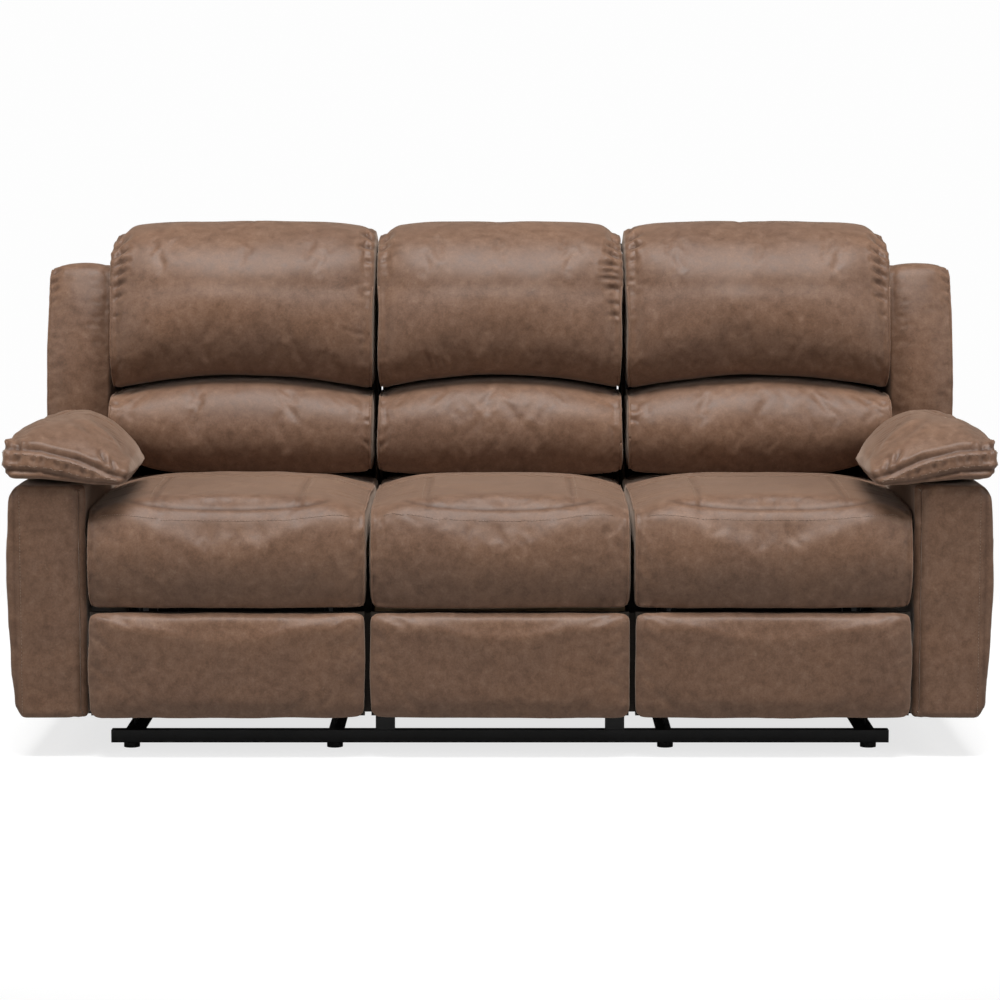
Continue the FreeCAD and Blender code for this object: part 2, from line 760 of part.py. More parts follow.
def wing_cushion(side, name):
    """Tall bolster beside an outer back, clear above the arm."""
    inner, outer = size("wing_inner"), size("pad_outer")
    foot = 547
    wires = []
    for share, edge in ((0, 1.0), (0.12, 0.3), (0.5, 0.0), (0.88, 0.3), (1, 1.0)):
        x = side * (inner + share * (outer - inner))
        top = size("wing_top") - 22 * edge
        front = 12 * edge
        rear = FRAME_REAR - 27
        low = (x, 150 + front, foot)
        brow = (x, 222 + front, top - 34)
        crest = (x, 270, top)
        nape = lean_point(x, rear, 628)
        heel = lean_point(x, rear, 250)
        wires.append(profile([
            (low, (x, 152 + front, 720), brow),
            (brow, (x, 238 + front * 0.6, top - 10), crest),
            (crest, tuple(nape)),
            (tuple(nape), tuple(heel)),
            (tuple(heel), low),
        ]))
    soft(wires, name)


# Arms

def arm_frame(side, name):
    """Plywood box inside the arm, open below, with a hole for the release cable."""
    low, high = "Sizes.arm_inner + 18", "Sizes.arm_outer - 34"
    front, rear = "(Sizes.arm_front + 18)", "(Sizes.arm_rear - 18)"
    y = (front, rear)
    z = ("Sizes.arm_bottom + Sizes.foot_height", "490")
    x = across(side, low, high)
    boards = [
        box(across(side, low, f"{low} + Sizes.ply"), y, z),
        box(across(side, f"{high} - Sizes.ply", high), y, z),
        box(x, (front, f"{front} + Sizes.ply"), z),
        box(x, (f"{rear} - Sizes.ply", rear), z),
        box(x, y, ("490 - Sizes.ply", "490")),
    ]
    for near_far in ARM_BRACKETS:
        boards.append(box(x, near_far, ("Sizes.arm_bottom + Sizes.foot_height", "Sizes.arm_bottom + 30")))
    hole = rod("x", 6, ("Sizes.handle_y + 20", "Sizes.handle_z"), across(side, f"{high} - 20", f"{high} + 5"))
    keep(cut(fuse(boards), hole), name)


def arm_profile(side, y):
    """Front outline of an arm: the outer edge swells and its lower corner is rounded."""
    inner, outer = side * size("arm_inner"), side * size("arm_outer")
    low, high = size("arm_bottom"), size("arm_top")
    shoulder = (outer - side * 6, y, high - 34)
    hip = (outer - side * 12, y, low + 40)
    return profile([
        ((inner, y, low), (inner, y, high)),
        ((inner, y, high), (outer - side * 24, y, high)),
        ((outer - side * 24, y, high), (outer - side * 12, y, high - 12), shoulder),
        (shoulder, (outer, y, 350), hip),
        (hip, (outer - side * 17, y, low + 14), (outer - side * 30, y, low)),
        ((outer - side * 30, y, low), (inner, y, low)),
    ])


def arm_cover(side, name):
    """Upholstered casing of an arm: a shell open below, stepped down behind the pad."""
    front, rear = size("arm_front"), size("arm_rear")
    inner, outer = size("arm_inner"), size("arm_outer")
    outside = Part.Face(arm_profile(side, front)).extrude(FreeCAD.Vector(0, rear - front, 0))
    lips = [e for e in outside.Edges if abs(e.CenterOfMass.y - front) < 1 and e.BoundBox.ZMax > 200]
    outside = outside.makeFillet(9, lips)
    cavity = Part.makeBox(
        outer - 33 - (inner + 17), rear - front - 34, 491 - size("arm_bottom") + 20,
        FreeCAD.Vector(min(side * (inner + 17), side * (outer - 33)), front + 17, size("arm_bottom") - 20),
    )
    step = Part.makeBox(400, 400, 100, FreeCAD.Vector(min(side * 700, side * 1100), 125, 528))
    cup = Part.makeBox(60, 100, 60, FreeCAD.Vector(
        min(side * (outer - 34), side * (outer + 26)), size("handle_y") - 50, size("handle_z") - 30))
    piece = doc.addObject("Part::Feature", "ArmCover")
    piece.Shape = outside.cut(cavity).cut(step).cut(cup)
    piece.Placement = FreeCAD.Placement()
    keep(piece, name)


def pad_section(side, y, outer, inner, top, shoulder, drop):
    """Cross-section of an arm pad; drop lowers its inner half."""
    foot = size("arm_top") + 0.3
    middle = (outer + inner) / 2
    out_swell = 0.25 * (shoulder - foot)
    in_swell = 0.25 * (shoulder - drop - foot)
    out_high = (side * (outer - out_swell), y, shoulder)
    in_high = (side * (inner + in_swell), y, shoulder - drop)
    out_low = (side * (outer - out_swell), y, foot)
    in_low = (side * (inner + in_swell), y, foot)
    return profile([
        (out_low, (side * outer, y, (foot + shoulder) / 2), out_high),
        (out_high, (side * middle, y, top), in_high),
        (in_high, (side * inner, y, (foot + shoulder - drop) / 2), in_low),
        (in_low, out_low),
    ])


def arm_pad(side, name):
    """Pillow on top of an arm: a low band in front, a crown, and a narrower tail beside the back."""
    outer, inner = size("pad_outer"), size("pad_inner")
    front, top = size("seat_front"), size("pad_top")
    tail = size("wing_inner") + 4
    steps = (
        (front, outer - 8, inner + 22, 590, 578, 24),
        (front + 12, outer - 2, inner + 8, 606, 594, 24),
        (front + 60, outer, inner, 634, 604, 20),
        (front + 170, outer, inner, top, 612, 12),
        (-190, outer, inner + 4, top, 612, 8),
        (-115, outer, inner + 16, top - 2, 610, 4),
        (-75, outer, inner + 38, top - 4, 609, 2),
        (-40, outer, inner + 70, top - 6, 608, 0),
        (-10, outer, inner + 97, top - 8, 606, 0),
        (20, outer - 1, tail - 5, top - 11, 604, 0),
        (50, outer - 2, tail, top - 15, 602, 0),
        (90, outer - 4, tail + 2, top - 24, 595, 0),
        (130, outer - 7, tail + 4, top - 36, 585, 0),
    )
    soft([pad_section(side, *step) for step in steps], name)


# Release handle

def handle_bezel(side, name):
    """Cup let into the arm's outer face, with a flange, and holes for the lever's pin."""
    y, z = "Sizes.handle_y", "Sizes.handle_z"
    face = "(Sizes.arm_outer + 0.5)"
    deep = "(Sizes.arm_outer - 29)"
    flange = box(across(side, face, f"{face} + 2.5"), (f"{y} - 58", f"{y} + 58"), (f"{z} - 37", f"{z} + 37"))
    cup = box(across(side, deep, face), (f"{y} - 49", f"{y} + 49"), (f"{z} - 29", f"{z} + 29"))
    room = box(
        across(side, f"{deep} + 2", f"{face} + 3"),
        (f"{y} - 47", f"{y} + 47"),
        (f"{z} - 27", f"{z} + 27"),
    )
    bore = rod("z", 2.55, (f"{side} * (Sizes.arm_outer - 9)", f"{y} - 40"), (f"{z} - 30", f"{z} + 30"))
    keep(cut(cut(fuse([flange, cup]), room), bore), name)


def handle_lever(side, name):
    """Flap that is pulled out by its rear edge, on an upright pin."""
    y, z = "Sizes.handle_y", "Sizes.handle_z"
    x = across(side, "Sizes.arm_outer - 12", "Sizes.arm_outer - 6")
    flap = box(x, (f"{y} - 44", f"{y} + 14"), (f"{z} - 24", f"{z} + 24"))
    pin = rod("z", 2.5, (f"{side} * (Sizes.arm_outer - 9)", f"{y} - 40"), (f"{z} - 28.8", f"{z} + 28.8"))
    keep(fuse([flap, pin]), name)


def release_cable(side, name):
    """Sheathed cable from the back of the cup, down inside the arm and up to its stop."""
    y = size("handle_y") + 20
    start = size("arm_outer") - 29
    drop = size("arm_inner") + 62
    stop = size("seat_middle") + size("gauge") + 9
    route = [(start, 400), (drop, 400), (drop, 62), (stop, 62), (stop, 106)]
    radii = [26, 60, 19]
    points = [FreeCAD.Vector(side * x, y, z) for x, z in route]
    edges = []
    last = points[0]
    for before, corner, after, radius in zip(points, points[1:], points[2:], radii):
        way_in = (corner - before).normalize()
        way_out = (after - corner).normalize()
        begin = corner - way_in * radius
        end = corner + way_out * radius
        centre = begin + way_out * radius
        middle = centre + (corner - centre).normalize() * radius
        edges.append(Part.makeLine(last, begin))
        edges.append(Part.Arc(begin, middle, end).toShape())
        last = end
    edges.append(Part.makeLine(last, points[-1]))
    path = Part.Wire(edges)
    ring = Part.Wire([Part.makeCircle(2.5, points[0], points[1] - points[0])])
    piece = doc.addObject("Part::Feature", "Cable")
    piece.Shape = path.makePipeShell([ring], True, False)
    piece.Placement = FreeCAD.Placement()
    keep(piece, name)


def build():
    cross_rail("front_base_rail", "Sizes.front_rail_y")
    cross_rail("rear_base_rail", "Sizes.rear_rail_y")
    base_side_rails()
    base_feet()
    centre_seat_posts()

    low, high = "Sizes.back_inner", "Sizes.arm_inner - 3"
    for word, side in SIDES.items():
        middle = side * size("seat_middle")
        arm_frame(side, f"{word}_arm_frame")
        arm_cover(side, f"{word}_arm_cover")
        arm_pad(side, f"{word}_arm_pad")
        handle_bezel(side, f"{word}_handle_bezel")
        handle_lever(side, f"{word}_handle_lever")
        release_cable(side, f"{word}_release_cable")
        base_plates(side, f"{word}_base_plates")
        rockers(side, "Sizes.front_rocker_y", f"{word}_front_rockers")
        rockers(side, "Sizes.rear_rocker_y", f"{word}_rear_rockers")
        seat_plates(side, f"{word}_seat_plates")
        drive_links(side, f"{word}_drive_links")
        carrier_links(side, f"{word}_carrier_links")
        seat_frame(side, f"{word}_seat_frame")
        seat_springs(middle, f"{word}_seat_springs")
        seat_cushion(middle, size("seat_half"), f"{word}_seat_cushion")
        footrest = f"{side} * Sizes.seat_middle"
        panel_board(side, footrest, "Sizes.panel_half", f"{word}_footrest_board", footrest_ears(side))
        panel_pad(middle, size("panel_half"), f"{word}_footrest_pad")
        back_brackets(side, f"{word}_back_brackets")
        edge = [f"{low} + 18", f"{high} - 18"]
        inner = [f"{INNER_PLANE} + 31", f"{OUTER_PLANE} - 31"]
        back_frame(side, f"{low} + 9", f"{high} - 9", edge + inner, f"{word}_back_frame", True)
        back_cover(side, f"{low} - 4", high, f"{word}_back_cover", True)
        back_middle = side * (size("back_inner") + size("back_outer")) / 2
        back_half = (size("back_outer") - size("back_inner")) / 2
        lumbar_cushion(back_middle, back_half, f"{word}_lumbar_cushion", side)
        upper_cushion(back_middle, back_half, f"{word}_upper_cushion")
        wing_cushion(side, f"{word}_wing_cushion")

    seat_frame(0, "centre_seat_frame", "245", "100")
    seat_springs(0, "centre_seat_springs")
    seat_cushion(0, size("middle_half"), "centre_seat_cushion")
    panel_board(0, "0", "Sizes.middle_half", "centre_panel_board", centre_battens())
    panel_pad(0, size("middle_half"), "centre_panel_pad")
    half = "Sizes.back_middle_half"
    back_frame(1, f"-{half} + 9", f"{half} - 9", ["-232", "-120", "120", "232"], "centre_back_frame")
    back_cover(1, f"-{half} - 2", f"{half} + 2", "centre_back_cover")
    lumbar_cushion(0, size("back_middle_half"), "centre_lumbar_cushion")
    upper_cushion(0, size("back_middle_half"), "centre_upper_cushion")


def check_and_write():
    """Refuse failed objects and bad shapes, then write every sub-part."""
    doc.recompute()
    failed = [o.Name for o in doc.Objects if "Invalid" in o.State or "Error" in o.State]
    bad = [o.Label for o in NODES if o.Shape.isNull() or not o.Shape.isValid() or not o.Shape.Solids]
    if failed or bad:
        raise RuntimeError(f"failed objects {failed}, bad shapes {bad}")
    os.makedirs("parts", exist_ok=True)
    for piece in NODES:
        piece.Shape.exportStep(f"parts/{piece.Label}.step")
    print(len(NODES), "sub-parts written")


build()
check_and_write()
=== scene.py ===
import json
import math

import bmesh
import bpy
import numpy as np
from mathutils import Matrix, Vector
from mathutils.bvhtree import BVHTree


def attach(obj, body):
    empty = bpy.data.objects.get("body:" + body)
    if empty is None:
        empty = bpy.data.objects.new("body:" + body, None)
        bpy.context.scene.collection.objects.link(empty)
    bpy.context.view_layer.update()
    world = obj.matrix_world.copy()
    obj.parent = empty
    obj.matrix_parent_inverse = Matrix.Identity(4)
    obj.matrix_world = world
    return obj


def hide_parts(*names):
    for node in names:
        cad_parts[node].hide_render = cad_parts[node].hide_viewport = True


# Three-seat reclining sofa in distressed brown faux leather on a black steel base.
# Metres, +X to the right seen from the front, -Y to the front, +Z up.

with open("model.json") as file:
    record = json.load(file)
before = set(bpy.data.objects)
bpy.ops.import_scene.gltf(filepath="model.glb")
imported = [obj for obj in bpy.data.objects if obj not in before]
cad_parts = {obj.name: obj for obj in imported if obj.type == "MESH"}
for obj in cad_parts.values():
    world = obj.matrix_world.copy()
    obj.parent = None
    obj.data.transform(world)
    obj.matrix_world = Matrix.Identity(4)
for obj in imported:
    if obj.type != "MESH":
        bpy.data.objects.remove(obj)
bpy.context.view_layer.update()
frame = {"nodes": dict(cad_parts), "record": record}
NODE_SLOT = {row["node"]: row["material_slot"] for row in frame["record"]["subparts"]}
BODIES = frame["record"]["behaviour"]["bodies"]
BODY_OF = {node: body for body, nodes in BODIES.items() for node in nodes}
SIDES = (("left", -1), ("right", 1))
MIDDLES = {"left": -0.533, "centre": 0.0, "right": 0.533}

# Camera, used also to place folds by where they show in a 1000 x 1000 view
CAMERA_PLACE = Vector((0.0, -6.475, 1.17))
CAMERA_AIM = Vector((0.0, -0.475, 0.5126))
FOCAL_PIXELS = 3122.0
VIEW_SIZE = 1000
VIEW_MIDDLE = 500
SENSOR = 36.0

# Upholstery: how sewn edges are told from rounded ones, how far apart stitches and cord places are
SEWN_ANGLE = math.radians(32)
HOLD_REACH = 0.008
CLOTH_FRAMES = 20
FAR = 9.0
WAVE_COUNT = 9
STITCH_LENGTH = 0.0038
STITCH_RADIUS = 0.0006
STITCH_STEP = 0.0062
CORD_STEP = 0.006
CORD_RADIUS = 0.0020
THIN_CORD_RADIUS = 0.0017
CORD_SINK = 0.25
SEAM_POINTS = 60
SEAT_SEAM_PLACE = 0.142
GATHER_REACH = 0.028
# levels of painted shade and highlight: 0.5 leaves the leather's colour as it is, lower paints it darker,
# higher lighter; sewn cords get a little painted highlight
UNSHADED_LEVEL = 0.5
SEWN_HIGHLIGHT_LEVEL = 0.62


def to_view(points):
    """Where points show in the view, in pixels from its top left corner."""
    forward = np.array((CAMERA_AIM - CAMERA_PLACE).normalized())
    right = np.array((1.0, 0.0, 0.0))
    up = np.cross(right, forward)
    away = points - np.array(CAMERA_PLACE)
    depth = away @ forward
    across = VIEW_MIDDLE + FOCAL_PIXELS * (away @ right) / depth
    down = VIEW_MIDDLE - FOCAL_PIXELS * (away @ up) / depth
    return np.stack([across, down], axis=1)


# Mesh helpers

def read_points(mesh):
    flat = np.empty(len(mesh.vertices) * 3)
    mesh.vertices.foreach_get("co", flat)
    return flat.reshape(-1, 3)


def write_points(mesh, points):
    mesh.vertices.foreach_set("co", points.ravel())
    mesh.update()


def read_normals(mesh):
    flat = np.empty(len(mesh.vertices) * 3)
    mesh.vertex_normals.foreach_get("vector", flat)
    return flat.reshape(-1, 3)


def read_edges(mesh):
    flat = np.empty(len(mesh.edges) * 2, dtype=np.int64)
    mesh.edges.foreach_get("vertices", flat)
    return flat.reshape(-1, 2)


def evaluated(piece):
    """Mesh of a piece with its modifiers applied."""
    graph = bpy.context.evaluated_depsgraph_get()
    return bpy.data.meshes.new_from_object(piece.evaluated_get(graph))


def apply_all(piece):
    mesh = evaluated(piece)
    piece.modifiers.clear()
    old = piece.data
    piece.data = mesh
    bpy.data.meshes.remove(old)


def weld(mesh):
    work = bmesh.new()
    work.from_mesh(mesh)
    bmesh.ops.remove_doubles(work, verts=work.verts, dist=1e-5)
    work.to_mesh(mesh)
    work.free()


def relax(points, edges, rounds, share=0.5, weight=None):
    """Laplacian smoothing; a weight of 0 holds a point still."""
    count = np.bincount(edges.ravel(), minlength=len(points))[:, None]
    points = points.copy()
    for _ in range(rounds):
        total = np.zeros_like(points)
        for axis in range(3):
            total[:, axis] += np.bincount(edges[:, 0], points[edges[:, 1], axis], len(points))
            total[:, axis] += np.bincount(edges[:, 1], points[edges[:, 0], axis], len(points))
        step = share * (total / np.maximum(count, 1) - points)
        points += step if weight is None else step * weight[:, None]
    return points


def sharp_segments(mesh, angle):
    """Ends of the edges where a mesh turns by more than an angle: a cushion's sewn edges."""
    work = bmesh.new()
    work.from_mesh(mesh)
    found = []
    for edge in work.edges:
        if len(edge.link_faces) == 2 and edge.calc_face_angle(0) > angle:
            found.append([edge.verts[0].co[:], edge.verts[1].co[:]])
    work.free()
    return np.array(found).reshape(-1, 2, 3)


def chains(segments):
    """Join segments end to end into lines."""
    ends = {}
    for i, pair in enumerate(segments):
        for point in pair:
            ends.setdefault(tuple(np.round(point, 5)), []).append(i)
    unused = set(range(len(segments)))
    lines = []
    while unused:
        first = unused.pop()
        line = [tuple(np.round(p, 5)) for p in segments[first]]
        for grow in (line.append, lambda p: line.insert(0, p)):
            while True:
                tip = line[-1] if grow == line.append else line[0]
                onward = [i for i in ends[tip] if i in unused]
                if not onward:
                    break
                unused.discard(onward[0])
                a, b = (tuple(np.round(p, 5)) for p in segments[onward[0]])
                grow(b if a == tip else a)
        lines.append(np.array(line))
    return lines


def distance_to(points, segments):
    """Least distance from each point to a set of segments."""
    best = np.full(len(points), FAR)
    for start, end in segments:
        run = end - start
        length = max(float(run @ run), 1e-12)
        share = np.clip((points - start) @ run / length, 0, 1)
        best = np.minimum(best, np.linalg.norm(points - start - share[:, None] * run, axis=1))
    return best


def along_line(points, line):
    """Distance to a polyline and how far along it the nearest place is, from 0 to 1."""
    line = np.asarray(line, float)
    steps = np.linalg.norm(np.diff(line, axis=0), axis=1)
    before = np.concatenate([[0], np.cumsum(steps)])
    best = np.full(len(points), 1e9)
    place = np.zeros(len(points))
    for i, step in enumerate(steps):
        run = line[i + 1] - line[i]
        share = np.clip((points - line[i]) @ run / max(step * step, 1e-12), 0, 1)
        gap = np.linalg.norm(points - line[i] - share[:, None] * run, axis=1)
        nearer = gap < best
        best[nearer] = gap[nearer]
        place[nearer] = ((before[i] + share * step) / before[-1])[nearer]
    return best, place


def smooth_step(value, low, high):
    share = np.clip((value - low) / (high - low), 0, 1)
    return share * share * (3 - 2 * share)


def waves(points, seed, length):
    """Smooth noise from a few crossed waves, about -1 to 1."""
    rng = np.random.default_rng(seed)
    total = np.zeros(len(points))
    for _ in range(WAVE_COUNT):
        way = rng.normal(size=3)
        way /= np.linalg.norm(way)
        scale = 2 * math.pi / (length * rng.uniform(0.6, 1.7))
        total += np.sin(points @ way * scale + rng.uniform(0, 6.28))
    return total / (0.5 * WAVE_COUNT)


# Materials

def material(name):
    made = bpy.data.materials.new(name)
    made.use_nodes = True
    tree = made.node_tree
    tree.nodes.clear()
    return made, tree


def put(tree, socket, value):
    if isinstance(value, bpy.types.NodeSocket):
        tree.links.new(value, socket)
    else:
        socket.default_value = value


def add_node(tree, kind, **inputs):
    made = tree.nodes.new(kind)
    for key, value in inputs.items():
        put(tree, made.inputs[key.replace("_", " ")], value)
    return made


def ramp(tree, factor, stops):
    made = tree.nodes.new("ShaderNodeValToRGB")
    tree.links.new(factor, made.inputs["Fac"])
    elements = made.color_ramp.elements
    while len(elements) < len(stops):
        elements.new(0.5)
    for element, (place, colour) in zip(elements, stops):
        element.position = place
        element.color = (*colour, 1)
    return made.outputs["Color"]


def grey(value):
    return (value, value, value)


def blend_colour(tree, kind, factor, one, other):
    made = tree.nodes.new("ShaderNodeMix")
    made.data_type = "RGBA"
    made.blend_type = kind
    for index, value in ((0, factor), (6, one), (7, other)):
        put(tree, made.inputs[index], value)
    return made.outputs[2]


def value_of(tree, operation, *values):
    made = tree.nodes.new("ShaderNodeMath")
    made.operation = operation
    for index, value in enumerate(values):
        put(tree, made.inputs[index], value)
    return made.outputs[0]


def noise(tree, place, scale, detail=4.0, rough=0.55, distort=0.0):
    made = add_node(tree, "ShaderNodeTexNoise", Vector=place, Scale=scale, Detail=detail,
                    Roughness=rough, Distortion=distort)
    return made.outputs["Fac"]


def surface(tree, colour, roughness, height, strength, distance, metallic=0.0, gloss=0.5, sheen=0.0):
    """Principled surface with a bump."""
    shader = add_node(tree, "ShaderNodeBsdfPrincipled", Base_Color=colour, Roughness=roughness,
                      Metallic=metallic, Specular_IOR_Level=gloss, Sheen_Weight=sheen,
                      Sheen_Roughness=0.5, Sheen_Tint=(0.86, 0.70, 0.58, 1))
    bump = add_node(tree, "ShaderNodeBump", Strength=strength, Distance=distance, Height=height)
    tree.links.new(bump.outputs[0], shader.inputs["Normal"])
    add_node(tree, "ShaderNodeOutputMaterial", Surface=shader.outputs[0])


def leather():
    """Brown distressed faux leather: clouded colour, pale scuffs, pebble grain and fine creases, with
    painted shade and highlight on folds, seams and puckers.
    """
    made, tree = material("faux_leather")
    place = add_node(tree, "ShaderNodeTexCoord").outputs["Object"]
    cloud = noise(tree, place, 4.5, 2.0, 0.5, 0.3)
    mottle = noise(tree, place, 48.0, 7.0, 0.66, 0.25)
    patch = noise(tree, place, 13.0, 4.0, 0.6, 0.5)
    scuff = noise(tree, place, 75.0, 8.0, 0.75, 0.6)
    fibre = noise(tree, place, 260.0, 3.0, 0.7, 0.2)
    tone = ramp(tree, mottle, [(0.28, (0.106, 0.054, 0.031)), (0.47, (0.149, 0.079, 0.047)),
                               (0.60, (0.172, 0.095, 0.059)), (0.78, (0.226, 0.134, 0.089))])
    tone = blend_colour(tree, "MULTIPLY", 1.0, tone, ramp(
        tree, patch, [(0.30, (0.93, 0.91, 0.90)), (0.5, grey(1.0)), (0.70, (1.06, 1.05, 1.03))]))
    tone = blend_colour(tree, "MULTIPLY", 1.0, tone, ramp(
        tree, cloud, [(0.30, (0.93, 0.93, 0.95)), (0.5, grey(1.0)), (0.70, (1.07, 1.05, 1.02))]))
    pale = ramp(tree, scuff, [(0.0, grey(0)), (0.58, grey(0)), (0.68, grey(0.6)), (1.0, grey(1))])
    pale = value_of(tree, "MULTIPLY", pale, ramp(tree, patch, [(0.44, grey(0.1)), (0.62, grey(1))]))
    tone = blend_colour(tree, "MIX", value_of(tree, "MULTIPLY", pale, 0.42), tone, (0.33, 0.235, 0.165, 1))
    tone = blend_colour(tree, "MULTIPLY", 1.0, tone, ramp(
        tree, fibre, [(0.30, grey(0.82)), (0.55, grey(1.0)), (0.75, grey(1.12))]))
    # painted shade and highlight: folds are darker in their creases and paler on their crests, seams darker
    # in their grooves
    painted_shade_and_highlight = tree.nodes.new("ShaderNodeAttribute")
    painted_shade_and_highlight.attribute_name = "painted_shade_and_highlight"
    shading_tint = ramp(tree, painted_shade_and_highlight.outputs["Fac"],
                  [(0.0, (0.36, 0.30, 0.27)), (0.5, grey(1.0)), (1.0, (1.30, 1.27, 1.22))])
    tone = blend_colour(tree, "MULTIPLY", 1.0, tone, shading_tint)

    pebble = add_node(tree, "ShaderNodeTexVoronoi", Vector=place, Scale=620.0)
    lines = tree.nodes.new("ShaderNodeTexVoronoi")
    lines.feature = "DISTANCE_TO_EDGE"
    put(tree, lines.inputs["Vector"], place)
    put(tree, lines.inputs["Scale"], 110.0)
    fine = ramp(tree, lines.outputs["Distance"], [(0.0, grey(0)), (0.07, grey(1))])
    crinkle = noise(tree, place, 42.0, 6.0, 0.6, 0.8)
    height = value_of(tree, "MULTIPLY", pebble.outputs["Distance"], -0.20)
    height = value_of(tree, "MULTIPLY_ADD", fine, 0.04, height)
    height = value_of(tree, "MULTIPLY_ADD", crinkle, 0.40, height)
    height = value_of(tree, "MULTIPLY_ADD", fibre, 0.20, height)
    rough = ramp(tree, mottle, [(0.3, grey(0.43)), (0.7, grey(0.54))])
    rough = value_of(tree, "MULTIPLY_ADD", pale, 0.12, rough)
    surface(tree, tone, rough, height, 0.30, 0.0014, gloss=0.3, sheen=0.38)
    return made


def thread():
    made, tree = material("brown_thread")
    place = add_node(tree, "ShaderNodeTexCoord").outputs["Object"]
    twist = add_node(tree, "ShaderNodeTexWave", Vector=place, Scale=700.0)
    twist.bands_direction = "DIAGONAL"
    tone = ramp(tree, noise(tree, place, 300.0), [(0.3, (0.20, 0.13, 0.09)), (0.7, (0.33, 0.23, 0.165))])
    surface(tree, tone, 0.7, twist.outputs["Fac"], 0.5, 0.0003)
    return made


def steel_paint():
    """Black powder coat: fine orange peel, a little dust."""
    made, tree = material("black_powder_coat")
    place = add_node(tree, "ShaderNodeTexCoord").outputs["Object"]
    dust = noise(tree, place, 18.0, 6.0, 0.65)
    peel = noise(tree, place, 900.0, 2.0, 0.5)
    tone = ramp(tree, dust, [(0.35, (0.008, 0.008, 0.0085)), (0.7, (0.017, 0.017, 0.0165))])
    surface(tree, tone, ramp(tree, dust, [(0.3, grey(0.36)), (0.75, grey(0.52))]), peel, 0.3, 0.0004)
    return made


def bare_steel():
    made, tree = material("spring_steel")
    place = add_node(tree, "ShaderNodeTexCoord").outputs["Object"]
    streak = noise(tree, place, 240.0, 5.0, 0.6, 0.8)
    tone = ramp(tree, streak, [(0.3, (0.22, 0.225, 0.235)), (0.7, (0.42, 0.43, 0.45))])
    surface(tree, tone, ramp(tree, streak, [(0.3, grey(0.28)), (0.7, grey(0.45))]), streak, 0.2, 0.0003, 1.0)
    return made


def timber(name, shade_factor):
    """Softwood and ply: stretched grain with darker lines, times a shade factor that paints shade where it
    is below 1.
    """
    made, tree = material(name)
    place = add_node(tree, "ShaderNodeTexCoord").outputs["Object"]
    stretched = add_node(tree, "ShaderNodeMapping", Vector=place, Scale=(2.0, 30.0, 30.0)).outputs[0]
    grain = noise(tree, stretched, 5.0, 8.0, 0.65, 1.4)
    pore = noise(tree, stretched, 30.0, 3.0, 0.5)
    tone = ramp(tree, grain, [(0.3, (0.26, 0.15, 0.075)), (0.5, (0.45, 0.29, 0.16)),
                              (0.72, (0.60, 0.43, 0.26))])
    tone = blend_colour(tree, "MULTIPLY", 1.0, tone, ramp(tree, pore, [(0.3, grey(0.8)), (0.6, grey(1))]))
    # painted shade where the shade factor is below 1
    tone = blend_colour(tree, "MULTIPLY", 1.0, tone, (*shade_factor, 1))
    surface(tree, tone, 0.68, grain, 0.3, 0.0008)
    return made


def black_plastic():
    made, tree = material("black_moulded_plastic")
    place = add_node(tree, "ShaderNodeTexCoord").outputs["Object"]
    cells = add_node(tree, "ShaderNodeTexVoronoi", Vector=place, Scale=1500.0)
    wear = noise(tree, place, 45.0, 5.0, 0.6)
    tone = ramp(tree, wear, [(0.35, (0.012, 0.012, 0.013)), (0.75, (0.024, 0.023, 0.022))])
    rough = ramp(tree, wear, [(0.3, grey(0.45)), (0.75, grey(0.6))])
    surface(tree, tone, rough, cells.outputs["Distance"], 0.35, 0.0003)
    return made


LEATHER = leather()
THREAD = thread()
MATERIALS = {
    "upholstery": LEATHER,
    "timber": timber("pale_timber", grey(1.0)),
    "black_steel": steel_paint(),
    "spring_steel": bare_steel(),
    "black_plastic": black_plastic(),
}
# painted shade: the boards behind the front panels and the back frame are made almost black, so the gaps
# where they show look dark
SHADE_TIMBER = timber("near_black_shade_timber", grey(0.05))
SHADE_DARKENED_PIECES = ("panel_board", "footrest_board", "back_frame")
for node, piece in frame["nodes"].items():
    piece.data.materials.clear()
    piece.data.materials.append(SHADE_TIMBER if node.endswith(SHADE_DARKENED_PIECES) else MATERIALS[NODE_SLOT[node]])
    piece.data.polygons.foreach_set("material_index", np.zeros(len(piece.data.polygons), dtype=np.int32))


# Soft pieces: remeshed from the CAD solid, filled by a cloth simulation, then sewn and creased

